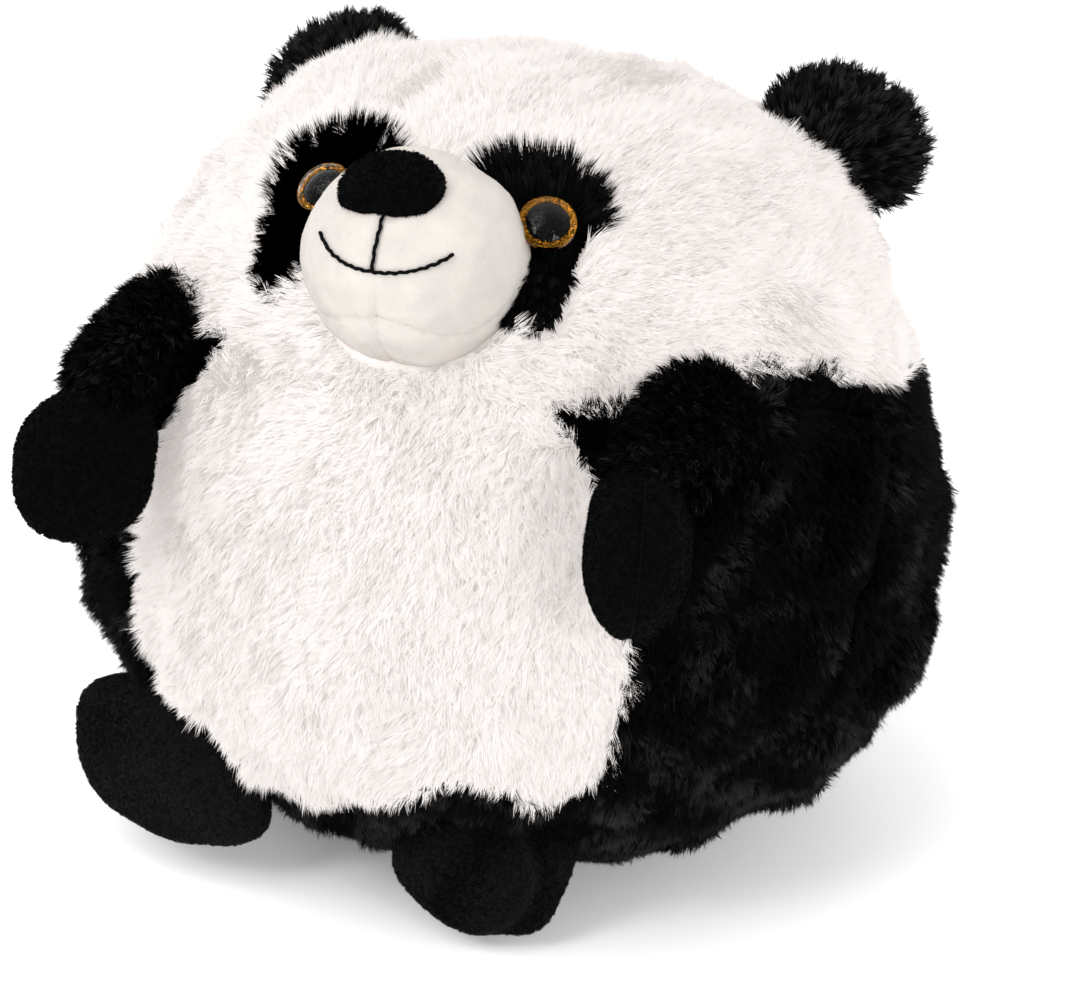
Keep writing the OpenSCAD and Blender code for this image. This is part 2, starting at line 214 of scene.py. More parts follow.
def swell(points):
    """How far the stuffed body stands out of, or pulls in from, its plain outline."""
    x, y, z = points.T
    azimuth = azimuth_of(points)
    neck = z - neck_height(points)
    side = np.clip(np.abs(azimuth) / 60, 0, 1)
    # Seams pull in: at the neck, with a hollow over the shoulders, the crown, the sides, the back, the belly
    out = -2.2 * bump(neck, 7) - 3.2 * side * bump(neck - 22, 20)
    out -= 1.6 * bump(y - CROWN_Y, 4) * (neck > 0)
    out -= 2.2 * bump(y - side_seam_y(z), 6) * (neck < 0) * (np.abs(x) > 60)
    out -= 1.8 * bump(x, 5) * (y > 0) * (neck < 0)
    belly_edge = np.abs(x) - belly_half_width(points)
    out -= 1.5 * bump(belly_edge, 6) * (neck < 0) * (y < 0) * (z > 38)
    # The filling swells unevenly, under the ears, in the brow and round the hand opening
    out += 4.0 * sum(bump(np.linalg.norm(points - foot, axis=1), 34) for foot in EAR_FOOT.values())
    black = (neck < 0) & ((y > 0) | (belly_edge > 0))
    out += np.where(black, 1.6, 0.8) * noise(points, 46, 1) + np.where(black, 0.9, 0.4) * noise(points, 21, 2)
    out += 6.0 * bump(np.linalg.norm(points - BROW_AT, axis=1), 30)
    out += 2.0 * bump(np.clip(slot_distance(points), 0, None), 9) * (np.abs(x) > SLOT_X)
    # The panda's right flank is slack low down
    out -= 10.0 * bump(azimuth + 76, 30) * bump(z - 60, 26)
    return out * np.clip((z - 4) / 20, 0, 1)


def on_surface(points, depth):
    """Points of the plain outline moved to the stuffed surface, depth below it."""
    n = body_normal(points)
    moved = points + n * (swell(points) - depth)[:, None]
    moved[:, 2] = np.maximum(moved[:, 2], 0.3)
    return moved, n


PROFILE_Z = np.concatenate([
    WAIST_Z - LOW_REACH * np.sin(np.linspace(math.asin((WAIST_Z / LOW_REACH) ** (LOW_POWER / 2)), 0, 160))
    ** (2 / LOW_POWER),
    WAIST_Z + TOP_REACH * np.sin(np.linspace(0, math.pi / 2, 240))[1:] ** (2 / TOP_POWER)])
PROFILE_Z[0] = 0.0
PROFILE_R = body_radius(PROFILE_Z)


def scatter_body(count):
    """Evenly spread points on the body's outline, from the edge of its flat base to its top."""
    step = np.hypot(np.diff(PROFILE_Z), np.diff(PROFILE_R)) * (PROFILE_R[1:] + PROFILE_R[:-1]) / 2
    area = np.concatenate([[0], np.cumsum(step)])
    share = (np.arange(count) + 0.5) / count
    z = np.interp(share * area[-1], area, PROFILE_Z)
    turn = np.arange(count) * math.pi * (3 - math.sqrt(5))
    turn += rng.normal(0, 0.6 / math.sqrt(count), count)
    rho = body_radius(z)
    return np.stack([rho * np.cos(turn), rho * np.sin(turn), z], -1)


# ---------------------------------------------------------------- mesh helpers

def link(name, data):
    """A new object of the scene."""
    obj = bpy.data.objects.new(name, data)
    bpy.context.scene.collection.objects.link(obj)
    return obj


def add_piece(name, points, faces, material, body, slot, nodes=(), smooth=True, uv=None, blend=None,
              normals=None):
    """A mesh object from points in millimetres and its faces: a list of them, or (loops, sizes of faces)."""
    mesh = bpy.data.meshes.new(name)
    if isinstance(faces, tuple):
        loops, sizes = faces
        mesh.vertices.add(len(points))
        mesh.vertices.foreach_set("co", (np.asarray(points) * MM).astype(np.float32).ravel())
        mesh.loops.add(len(loops))
        mesh.loops.foreach_set("vertex_index", loops.astype(np.int32))
        mesh.polygons.add(len(sizes))
        starts = np.concatenate([[0], np.cumsum(sizes)[:-1]])
        mesh.polygons.foreach_set("loop_start", starts.astype(np.int32))
        mesh.update(calc_edges=True)
    else:
        mesh.from_pydata((np.asarray(points) * MM).tolist(), [], [list(map(int, f)) for f in faces])
        mesh.update()
    if uv is not None:
        layer = mesh.uv_layers.new(name=UV_NAME)
        index = np.empty(len(mesh.loops), np.int32)
        mesh.loops.foreach_get("vertex_index", index)
        layer.data.foreach_set("uv", uv[index].astype(np.float32).ravel())
    mesh.shade_smooth() if smooth else mesh.shade_flat()
    if normals is not None:
        mesh.normals_split_custom_set_from_vertices(normals)
    mesh.materials.append(material)
    obj = link(name, mesh)
    if blend:
        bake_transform(obj)
    else:
        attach(obj, body)
    if nodes:
        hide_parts(*nodes)
    return obj


def grid_faces(rows, columns, wrap=True):
    """Quads of a grid of rows x columns points; wrap joins the last column to the first."""
    r, c = np.meshgrid(np.arange(rows - 1), np.arange(columns if wrap else columns - 1), indexing="ij")
    a = r * columns + c
    b = r * columns + (c + 1) % columns
    return np.stack([a, b, b + columns, a + columns], -1).reshape(-1, 4)


def used_only(points, faces):
    """Drops the points that no face uses."""
    used, index = np.unique(faces, return_inverse=True)
    return points[used], index.reshape(faces.shape)


def as_loops(faces):
    """An array of faces in the form (loops, sizes of faces)."""
    return faces.ravel(), np.full(len(faces), faces.shape[1])


def ring_face(first, sides, forward=True):
    """The face that closes a ring of points."""
    face = list(range(first, first + sides))
    return face if forward else face[::-1]


def capped(faces, rings, sides, first=True, last=True):
    """The faces of a grid of rings as a list, with its first and last rings closed."""
    faces = faces.tolist()
    if first:
        faces.append(ring_face(0, sides, False))
    if last:
        faces.append(ring_face((rings - 1) * sides, sides))
    return faces


def joined(parts):
    """One mesh of several pairs of points and list of faces."""
    points, faces, count = [], [], 0
    for part_points, part_faces in parts:
        points.append(part_points)
        faces += [[v + count for v in face] for face in part_faces]
        count += len(part_points)
    return np.concatenate(points), faces


def smoothed(curve, width):
    """A row of values, averaged over a bell of width values (an odd number)."""
    kernel = np.hanning(width) / np.hanning(width).sum()
    return np.convolve(np.pad(curve, width // 2, mode="edge"), kernel, "valid")


def tube(path, radii, sides, closed_ends=True):
    """Points and faces of a round tube along a path."""
    path = np.asarray(path, float)
    tangent = unit(np.gradient(path, axis=0))
    side = unit(np.cross(tangent[0], [0.3, 0.5, 0.8]))
    rings = []
    for p, t, r in zip(path, tangent, np.broadcast_to(radii, len(path))):
        side = unit(side - t * (side @ t))
        up = np.cross(t, side)
        a = np.linspace(0, 2 * math.pi, sides, endpoint=False)
        rings.append(p + r * (np.cos(a)[:, None] * side + np.sin(a)[:, None] * up))
    faces = capped(grid_faces(len(path), sides), len(path), sides, closed_ends, closed_ends)
    return np.concatenate(rings), faces


# ---------------------------------------------------------------- pile

class Pile:
    """What a kind of pile is like. A clump of strands has the radius spread and stands lift radians off the
    cloth. Gather draws a clump's strands together at their tips, and group_pull draws clumps within a group's
    size together. Wander is a random turn of the comb, bow a bend outward, and soft the share of the cloth's
    own normal in the shading."""

    def __init__(self, length, lift, spread, strands, width, gather, group=0.0, group_pull=0.0, wander=0.2,
                 bow=0.14, soft=0.6):
        self.length, self.lift, self.spread, self.strands = length, lift, spread, strands
        self.width, self.gather, self.group, self.group_pull = width, gather, group, group_pull
        self.wander, self.bow, self.soft = wander, bow, soft


# Lowest height of a strand, so that none reaches into the ground
STRAND_FLOOR = 0.6


def grouped(roots, pile, length, lift):
    """Pull, length, lift and tone of clumps whose groups lean together and share a tone."""
    count = len(roots)
    pick = rng.permutation(count)[:max(1, int(count * (pile.spread * 1.6 / pile.group) ** 2))]
    tree = KDTree(len(pick))
    for i, p in enumerate(roots[pick]):
        tree.insert(p, i)
    tree.balance()
    nearest = np.array([pick[tree.find(p)[1]] for p in roots])
    pull = roots[nearest] - roots
    away = np.linalg.norm(pull, axis=1) / pile.group
    length = length * (1.08 - 0.3 * np.clip(away, 0, 1) ** 2)
    lift = lift + 0.10 * rng.normal(size=count)[nearest]
    tone = 0.5 + 0.16 * rng.normal(size=count)[nearest] + 0.1 * rng.normal(size=count)
    return pull, length, lift, tone


def grow(roots, normals, comb, pile, length=None, tint=0.0):
    """Strands of pile from clump centres: returns points, (loops, sizes), uv and shading normals.
    The comb is the way the pile lies. Each strand is a tapered blade of a quad and a triangle."""
    count = len(roots)
    k = pile.strands
    comb = unit(comb - normals * (comb * normals).sum(1, keepdims=True))
    swing = pile.wander * rng.normal(size=count)
    across = np.cross(normals, comb)
    comb = unit(comb * np.cos(swing)[:, None] + across * np.sin(swing)[:, None])
    across = np.cross(normals, comb)
    length = np.full(count, pile.length) if length is None else length
    length = length * rng.uniform(0.85, 1.12, count)
    lift = pile.lift + 0.10 * rng.normal(size=count)
    if pile.group > 0:
        pull, length, lift, tone = grouped(roots, pile, length, lift)
    else:
        pull, tone = np.zeros_like(roots), 0.5 + 0.2 * rng.normal(size=count)
    tone = tone + tint
    lean = np.clip(lift, 0.05, 1.4)
    way = comb * np.cos(lean)[:, None] + normals * np.sin(lean)[:, None]
    clump_tip = roots + way * length[:, None] + pull * pile.group_pull

    def each(a):
        return np.repeat(a, k, axis=0)

    reach = pile.spread * np.sqrt(rng.uniform(0, 1, count * k))
    turn = rng.uniform(0, 2 * math.pi, count * k)
    offset = each(comb) * (reach * np.cos(turn))[:, None] + each(across) * (reach * np.sin(turn))[:, None]
    root = each(roots) + offset
    strand_length = each(length) * rng.uniform(0.8, 1.1, count * k)
    own_tip = root + each(way) * strand_length[:, None]
    tip = own_tip * (1 - pile.gather) + each(clump_tip) * pile.gather
    tip += rng.normal(0, 0.05, tip.shape) * strand_length[:, None]
    n = each(normals)
    middle = (root + tip) / 2 + n * (pile.bow * strand_length)[:, None]
    direction = unit(tip - root)
    flat = unit(np.cross(direction, n))
    twist = rng.uniform(-1.1, 1.1, count * k)
    wide = flat * np.cos(twist)[:, None] + np.cross(direction, flat) * np.sin(twist)[:, None]
    half = pile.width / 2 * rng.uniform(0.75, 1.25, count * k)[:, None]
    points = np.stack([root - wide * half, root + wide * half, middle - wide * half * 0.85,
                       middle + wide * half * 0.85, tip], 1).reshape(-1, 3)
    points[:, 2] = np.maximum(points[:, 2], STRAND_FLOOR)
    first = np.arange(count * k) * 5
    loops = np.stack([first, first + 1, first + 3, first + 2, first + 2, first + 3, first + 4], 1).ravel()
    sizes = np.tile([4, 3], count * k)
    tone = np.clip(each(tone) + 0.08 * rng.normal(size=count * k), 0.02, 0.98)
    uv = np.stack([np.repeat(tone, 5), np.tile([0.02, 0.02, 0.5, 0.5, 0.98], count * k)], -1)
    blade = np.cross(wide, direction)
    blade *= np.sign((blade * n).sum(1, keepdims=True) + 1e-9)
    shade = unit(n * pile.soft + blade * (1 - pile.soft))
    return points, (loops, sizes), uv, np.repeat(shade, 5, axis=0)


def add_pile(name, grown, material, body, slot, blend=None):
    points, faces, uv, normals = grown
    add_piece(name, points, faces, material, body, slot, uv=uv, normals=normals, blend=blend)


# ---------------------------------------------------------------- surfaces to scatter pile on

def vertex_normals(points, quads):
    a, b, c, d = (points[quads[:, i]] for i in range(4))
    face = np.cross(c - a, d - b)
    total = np.zeros_like(points)
    for i in range(4):
        np.add.at(total, quads[:, i], face)
    return unit(total)


def scatter_on(points, quads, density):
    """Random points with their normals, density of them to a square millimetre."""
    a, b, c, d = (points[quads[:, i]] for i in range(4))
    area = np.linalg.norm(np.cross(c - a, d - b), axis=1) / 2
    count = int(area.sum() * density)
    pick = rng.choice(len(quads), count, p=area / area.sum())
    u, v = rng.uniform(0, 1, (2, count, 1))
    n = vertex_normals(points, quads)
    weights = [(1 - u) * (1 - v), u * (1 - v), u * v, (1 - u) * v]
    place, normal = (sum(w * values[quads[pick, i]] for i, w in enumerate(weights)) for values in (points, n))
    return place, unit(normal)


# ---------------------------------------------------------------- materials

def new_material(name, roughness, sheen=0.0, sheen_roughness=0.5, specular=0.5, metallic=0.0):
    material = bpy.data.materials.new(name)
    material.use_nodes = True
    shader = material.node_tree.nodes["Principled BSDF"]
    shader.inputs["Roughness"].default_value = roughness
    shader.inputs["Sheen Weight"].default_value = sheen
    shader.inputs["Sheen Roughness"].default_value = sheen_roughness
    shader.inputs["Specular IOR Level"].default_value = specular
    shader.inputs["Metallic"].default_value = metallic
    return material, material.node_tree.nodes, material.node_tree.links, shader


def grey(level):
    return level, level, level


def ramp(nodes, stops):
    """A colour ramp through (position, colour) stops."""
    node = nodes.new("ShaderNodeValToRGB")
    elements = node.color_ramp.elements
    while len(elements) < len(stops):
        elements.new(0.5)
    for element, (at, color) in zip(elements, stops):
        element.position = at
        element.color = (*color, 1)
    return node


def multiply(nodes, links, a, b):
    """The product of two colours."""
    node = nodes.new("ShaderNodeMix")
    node.data_type = "RGBA"
    node.blend_type = "MULTIPLY"
    node.inputs["Factor"].default_value = 1.0
    links.new(a, node.inputs["A"])
    links.new(b, node.inputs["B"])
    return node.outputs["Result"]


def set_glow(material, shader, color, strength):
    """A little light of its own, too weak to be sampled as a lamp."""
    shader.inputs["Emission Color"].default_value = (*color, 1)
    shader.inputs["Emission Strength"].default_value = strength
    material.cycles.emission_sampling = "NONE"


def pile_material(name, root, middle, tip, dark, sheen, specular=0.2, glow=0.0):
    """Colour runs from root to tip along each strand, and each strand has its own tone, down to dark. Where
    roots are darker than tips, the darker roots are painted shade between the strands and the lighter tips
    painted sheen. The glow is painted light, standing for light that wanders through dense pale pile."""
    material, nodes, links, shader = new_material(name, 0.8, sheen, 0.4, specular)
    set_glow(material, shader, (1.0, 0.94, 0.915), glow)
    uv = nodes.new("ShaderNodeUVMap")
    uv.uv_map = UV_NAME
    split = nodes.new("ShaderNodeSeparateXYZ")
    links.new(uv.outputs["UV"], split.inputs["Vector"])
    along = ramp(nodes, [(0.0, root), (0.5, middle), (1.0, tip)])
    tone = ramp(nodes, [(0.42, grey(dark)), (0.86, grey(1.0))])
    links.new(split.outputs["Y"], along.inputs["Fac"])
    links.new(split.outputs["X"], tone.inputs["Fac"])
    color = multiply(nodes, links, along.outputs["Color"], tone.outputs["Color"])
    links.new(color, shader.inputs["Base Color"])
    return material


def cloth_material(name, low, high, grain, roughness=0.9, sheen=0.3, bump_depth=0.25, cloud=12.0,
                   specular=0.2):
    """Short pile or knit: a fine grain of size grain over broad soft clouds of size cloud, in millimetres."""
    material, nodes, links, shader = new_material(name, roughness, sheen, 0.5, specular)
    place = nodes.new("ShaderNodeTexCoord")
    fine, broad = nodes.new("ShaderNodeTexNoise"), nodes.new("ShaderNodeTexNoise")
    for node, size, detail in ((fine, grain, 3.0), (broad, cloud, 4.0)):
        node.inputs["Scale"].default_value = 1000.0 / size
        node.inputs["Detail"].default_value = detail
        links.new(place.outputs["Object"], node.inputs["Vector"])
    tint = ramp(nodes, [(0.32, low), (0.68, high)])
    links.new(fine.outputs["Fac"], tint.inputs["Fac"])
    shade = ramp(nodes, [(0.3, (0.86, 0.86, 0.87)), (0.7, grey(1.0))])
    links.new(broad.outputs["Fac"], shade.inputs["Fac"])
    links.new(multiply(nodes, links, tint.outputs["Color"], shade.outputs["Color"]),
              shader.inputs["Base Color"])
    relief = nodes.new("ShaderNodeBump")
    relief.inputs["Strength"].default_value = bump_depth
    relief.inputs["Distance"].default_value = grain * MM
    links.new(fine.outputs["Fac"], relief.inputs["Height"])
    links.new(relief.outputs["Normal"], shader.inputs["Normal"])
    return material


def gloss_material(name, low, high, grain, roughness, metallic=0.0, specular=0.5):
    """A hard material in cells of size grain millimetres, each with its own tone."""
    material, nodes, links, shader = new_material(name, roughness, 0.0, 0.5, specular, metallic)
    place = nodes.new("ShaderNodeTexCoord")
    cells = nodes.new("ShaderNodeTexVoronoi")
    cells.inputs["Scale"].default_value = 1000.0 / grain
    links.new(place.outputs["Object"], cells.inputs["Vector"])
    split = nodes.new("ShaderNodeSeparateColor")
    links.new(cells.outputs["Color"], split.inputs["Color"])
    tint = ramp(nodes, [(0.3, low), (0.95, high)])
    links.new(split.outputs["Red"], tint.inputs["Fac"])
    links.new(tint.outputs["Color"], shader.inputs["Base Color"])
    return material


def clear_material(name):
    material, nodes, links, shader = new_material(name, 0.02)
    shader.inputs["Base Color"].default_value = (1, 1, 1, 1)
    shader.inputs["Transmission Weight"].default_value = 1.0
    shader.inputs["IOR"].default_value = 1.06
    return material


# The white pile's glow is painted light that lifts the shade between its strands.
WHITE_PILE = pile_material("white_pile", (0.6, 0.575, 0.56), (0.59, 0.565, 0.55), (0.57, 0.54, 0.525),
                           0.98, 0.03, glow=0.36)
# The darker roots and lighter tips of the dark piles below are painted shade and painted sheen.
BLACK_PILE = pile_material("black_pile", grey(0.0004), grey(0.0012), (0.038, 0.036, 0.036), 0.02, 0.003, 0.06)
PATCH_PILE = pile_material("patch_pile", grey(0.0003), (0.0008, 0.0008, 0.0007), (0.014, 0.013, 0.012),
                           0.06, 0.0, 0.05)
MUZZLE_PILE = pile_material("muzzle_pile", (0.59, 0.55, 0.51), (0.6, 0.56, 0.52), (0.61, 0.57, 0.53),
                            0.97, 0.02)
VELOUR_PILE = pile_material("velour_pile", grey(0.001), grey(0.0018), grey(0.0034), 0.6, 0.008, 0.03)
SOLE_PILE = pile_material("sole_pile", (0.003, 0.0028, 0.0028), (0.008, 0.0073, 0.0075),
                          (0.036, 0.033, 0.034), 0.1, 0.015, 0.04)
WHITE_CLOTH = cloth_material("white_backing", (0.85, 0.8, 0.77), (0.92, 0.88, 0.85), 1.2)
BLACK_CLOTH = cloth_material("black_backing", grey(0.0005), grey(0.0015), 1.2, sheen=0.0, specular=0.02)
MUZZLE_CLOTH = cloth_material("muzzle_velour", (0.58, 0.54, 0.5), (0.62, 0.58, 0.54), 0.5, 0.95, 0.02, 0.15)
VELOUR_CLOTH = cloth_material("black_velour", grey(0.0012), grey(0.0028), 0.5, 0.9, 0.008, 0.4, specular=0.03)
SOLE_CLOTH = cloth_material("foot_velour", (0.0035, 0.0032, 0.0033), (0.0075, 0.0068, 0.007), 0.5, 0.9, 0.015,
                            0.4, specular=0.04)
LINING_CLOTH = cloth_material("lining_velour", grey(0.001), grey(0.003), 0.6, sheen=0.0, specular=0.03)
FIBRE = cloth_material("loose_fibre", (0.7, 0.69, 0.66), (0.86, 0.85, 0.83), 3.0)
THREAD = cloth_material("black_thread", grey(0.001), grey(0.004), 0.35, 0.8, 0.0, 0.5, 3.0, 0.05)
IRIS = gloss_material("gold_glitter", (0.008, 0.0025, 0.0003), (0.6, 0.26, 0.02), 0.3, 0.25, 1.0)
PUPIL = gloss_material("black_pupil", grey(0.001), grey(0.002), 2.0, 0.08, 0.0, 0.12)
CLEAR = clear_material("clear_dome")
WASHER = gloss_material("moulded_washer", (0.75, 0.75, 0.73), (0.82, 0.82, 0.8), 1.5, 0.5)


# ---------------------------------------------------------------- sides, and the places of ears and eyes

def side_name(side):
    return "left" if side > 0 else "right"


def mirror_of(side):
    return MIRROR if side < 0 else 1


def turned_faces(faces, side):
    """Mirrored pieces need their faces the other way round."""
    if side > 0:
        return faces
    if isinstance(faces, np.ndarray):
        return faces[:, ::-1]
    return [list(f)[::-1] for f in faces]


EAR_PIVOT = joint_place("ear_left_fold")
EAR_FOOT = {1: EAR_PIVOT, -1: EAR_PIVOT * (-1, 1, 1)}
EYE_AZ, EYE_EL, EYE_Z = 20.6, 45.0, 238.5
EYE_TURN = turned((0, 0, 1), EYE_AZ) @ turned((1, 0, 0), 90 - EYE_EL)
EYE_AT = turned((0, 0, 1), EYE_AZ) @ np.array([0.0, -float(body_radius(EYE_Z)), EYE_Z])
MIRROR = np.array([-1.0, 1.0, 1.0])
PATCH_R, PATCH_TIP_R = 19.0, 10.0
PATCH_DROP = {1: 24.0, -1: 29.0}
PATCH_SHIFT = {1: (-5.0, 3.5), -1: (6.0, 4.5)}


def eye_local(points, side):
    """Place of points in the eye's own axes: across, up the slope, outward."""
    return (points * mirror_of(side) - EYE_AT) @ EYE_TURN


def patch_depth(points, side):
    """How far inside the eye patch a point is, in millimetres; negative outside."""
    across, up, out = eye_local(points, side).T
    across, up = across - PATCH_SHIFT[side][0], up - PATCH_SHIFT[side][1]
    t = np.clip(-up / PATCH_DROP[side], 0, 1)
    inside = PATCH_R - (PATCH_R - PATCH_TIP_R) * t - np.hypot(across, up + PATCH_DROP[side] * t)
    return np.where(out > -25, inside, -50)


# ---------------------------------------------------------------- body covers

ROOT_DEPTH = 8.0
# Rings of the flat base, as shares of its edge
BASE_RINGS = (0.04, 0.35, 0.7, 0.93)
# Points round a ring, and the step from ring to ring, of the covers and of the filling inside them
COVER_COLUMNS, COVER_STEP = 300, 3.2
FILLING_COLUMNS, FILLING_STEP = 72, 14
FILLING_DEPTH = 12
PANELS = [
    ("head_front", "white_plush", WHITE_CLOTH), ("head_back", "white_plush", WHITE_CLOTH),
    ("belly_panel", "white_plush", WHITE_CLOTH), ("side_panel_left", "black_plush", BLACK_CLOTH),
    ("side_panel_right", "black_plush", BLACK_CLOTH), ("back_panel_left", "black_plush", BLACK_CLOTH),
    ("back_panel_right", "black_plush", BLACK_CLOTH), ("base_panel", "black_plush", BLACK_CLOTH)]


def fade_to_base(z):
    """Share of the pile's depth that is left towards the flat base."""
    return 0.08 + 0.92 * smooth_step(np.clip(z / 26, 0, 1))


def body_grid(depth, columns, step):
    """Rings of points over the whole body, from the middle of the base to the top."""
    length = np.concatenate([[0], np.cumsum(np.hypot(np.diff(PROFILE_Z), np.diff(PROFILE_R)))])
    rows = np.interp(np.arange(0, length[-1] - step / 2, step), length, PROFILE_Z)
    a = np.linspace(0, 2 * math.pi, columns, endpoint=False)
    rho = body_radius(rows)
    heights = np.repeat(rows[:, None], columns, 1)
    plain = np.stack([np.outer(rho, np.cos(a)), np.outer(rho, np.sin(a)), heights], -1).reshape(-1, 3)
    moved, _ = on_surface(plain, depth * fade_to_base(plain[:, 2]))
    flat = [moved[:columns] * (f, f, 0) + (0, 0, 0.3) for f in BASE_RINGS]
    flat_plain = [plain[:columns] * (f, f, 1) for f in BASE_RINGS]
    return np.concatenate(flat + [moved]), np.concatenate(flat_plain + [plain]), len(rows) + len(BASE_RINGS)


def make_body_covers():
    moved, plain, rows = body_grid(ROOT_DEPTH, COVER_COLUMNS, COVER_STEP)
    quads = grid_faces(rows, COVER_COLUMNS)
    middle = plain[quads].mean(1)
    code = region(middle)
    open_slot = (slot_distance(middle) < 0) & (np.abs(middle[:, 0]) > SLOT_X)
    for i, (node, slot, material) in enumerate(PANELS):
        points, faces = used_only(moved, quads[(code == i) & ~open_slot])
        add_piece("cover_" + node, points, as_loops(faces), material, "body", slot, [node])


def slot_plane(across, along):
    """Side view place (y, z) of a point given across and along the hand opening."""
    y = SLOT_Y + across * math.cos(SLOT_TILT) + along * math.sin(SLOT_TILT)
    z = SLOT_Z + along * math.cos(SLOT_TILT) - across * math.sin(SLOT_TILT)
    return y, z


def cut(obj, cutter):
    """Takes the cutter's shape out of a mesh object."""
    modifier = obj.modifiers.new("cut", "BOOLEAN")
    modifier.operation = "DIFFERENCE"
    modifier.object = cutter
    bpy.context.view_layer.update()
    mesh = bpy.data.meshes.new_from_object(obj.evaluated_get(bpy.context.evaluated_depsgraph_get()))
    obj.modifiers.clear()
    obj.data = mesh
    bpy.data.objects.remove(cutter)


def make_body_filling():
    """The body's filling, with a long hole from side to side for the lining."""
    moved, _, rows = body_grid(ROOT_DEPTH + FILLING_DEPTH, FILLING_COLUMNS, FILLING_STEP)
    moved[:, 2] = np.maximum(moved[:, 2], 7)
    faces = capped(grid_faces(rows, FILLING_COLUMNS), rows, FILLING_COLUMNS)
    filling = add_piece("body_filling", moved, faces, FIBRE, "body", "filling")
    a = np.linspace(0, math.pi, 12)
    half_w, half_h = SLOT_HALF_W + 10, SLOT_HALF_H + 6
    arc = np.stack([half_w * np.cos(a), half_h - half_w + half_w * np.sin(a)], -1)
    outline = np.concatenate([arc, -arc])
    y, z = slot_plane(outline[:, 0], outline[:, 1])
    count = len(outline)
    ring = np.stack([np.ones(count), y, z], -1)
    points = np.concatenate([ring * (x, 1, 1) for x in (-1.2 * BODY_R, 1.2 * BODY_R)])
    mesh = bpy.data.meshes.new("cutter")
    mesh.from_pydata((points * MM).tolist(), [],
                     grid_faces(2, count).tolist() + [ring_face(0, count), ring_face(count, count, False)])
    cut(filling, link("cutter", mesh))
    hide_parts("body_stuffing")


# Extra half width of the lining's outermost rings, which roll over its edge
LINING_HEM = {0: 2.6, 1: 1.6, 2: 0.4}
# Half width that the lining gains inside its mouths and loses half way, and how far it goes aside there
LINING_GAIN, LINING_LOSS, LINING_SHIFT = 5.5, 6.0, 8.0


def make_lining():
    """The hand tunnel: a soft tube, narrow at its two mouths, with a rolled hem. The filling presses it
    nearly flat, and to one side, half way through."""
    sides = 72
    a = np.linspace(0, 2 * math.pi, sides, endpoint=False)
    rings = []
    stations = np.concatenate([[1.0, 1.012, 1.006], np.linspace(0.985, -0.985, 44), [-1.006, -1.012, -1.0]])
    for i, s in enumerate(stations):
        inner = smooth_step(np.clip((1 - abs(s)) / 0.22, 0, 1))
        squeeze = smooth_step(np.clip(1 - abs(s) / 0.5, 0, 1))
        half_w = SLOT_HALF_W + LINING_GAIN * inner - LINING_LOSS * squeeze
        half_w += LINING_HEM.get(min(i, len(stations) - 1 - i), 0)
        straight = SLOT_HALF_H - half_w
        across = half_w * np.cos(a) + LINING_SHIFT * squeeze
        along = half_w * np.sin(a) + straight * np.clip(np.sin(a) * 3, -1, 1)
        y, z = slot_plane(across, along)
        x = np.sqrt(np.maximum(body_radius(z) ** 2 - y ** 2, 0)) * s
        points = np.stack([x, y, z], -1)
        edge = np.stack([np.abs(x), y, z], -1)
        lift = swell(edge) - ROOT_DEPTH * 0.8
        points[:, 0] += np.sign(s) * lift * np.clip((abs(s) - 0.7) / 0.28, 0, 1)
        rings.append(points)
    points = np.concatenate(rings)
    faces = grid_faces(len(stations), sides)
    points += 0.7 * vertex_normals(points, faces) * noise(points, 16, 3)[:, None]
    add_piece("lining", points, as_loops(faces), LINING_CLOTH, "body", "lining", ["hand_lining"])


# ---------------------------------------------------------------- body pile

WHITE_COAT = Pile(7.6, 0.92, 1.4, 8, 0.31, 0.22, group=5.0, group_pull=0.12, wander=0.5, soft=1.0)
BLACK_COAT = Pile(7.8, 0.92, 1.4, 8, 0.34, 0.45, group=4.0, group_pull=0.3, wander=0.6, soft=0.6)
COAT_CLUMPS = 122000
# Most strands in one mesh
MOST_STRANDS = 64000
# Bare cloth left round a foot
FOOT_ROOM = 4


def body_comb(points, normals, white_head):
    """Pile lies away from the muzzle on the head, up or inward at the shoulders, and downward elsewhere."""
    away = points - (MUZZLE_AT + (0, -12, 0))
    down = np.tile([0.0, 0.0, -1.0], (len(points), 1))
    far = np.clip(np.linalg.norm(away, axis=1) / 260, 0, 1)[:, None]
    head = unit(away) * (1 - 0.5 * far) + down * 0.5 * far
    comb = np.where(white_head[:, None], head, down)
    sway = np.stack([noise(points, 60, 4), noise(points, 60, 5), noise(points, 60, 6)], -1)
    comb = comb + 0.35 * sway
    azimuth = azimuth_of(points)
    below = neck_height(points) - points[:, 2]
    shoulder = (below > 0) & (below < 13) & (np.abs(np.abs(azimuth) - 47) < 27)
    inward = np.clip((46 - np.abs(azimuth)) / 12, 0, 1)
    out = np.stack([-np.sign(points[:, 0]) * inward, 0 * below, 1 - 0.8 * inward], -1)
    comb = np.where(shoulder[:, None], out + 0.3 * sway, comb)
    return unit(comb - normals * (comb * normals).sum(1, keepdims=True))


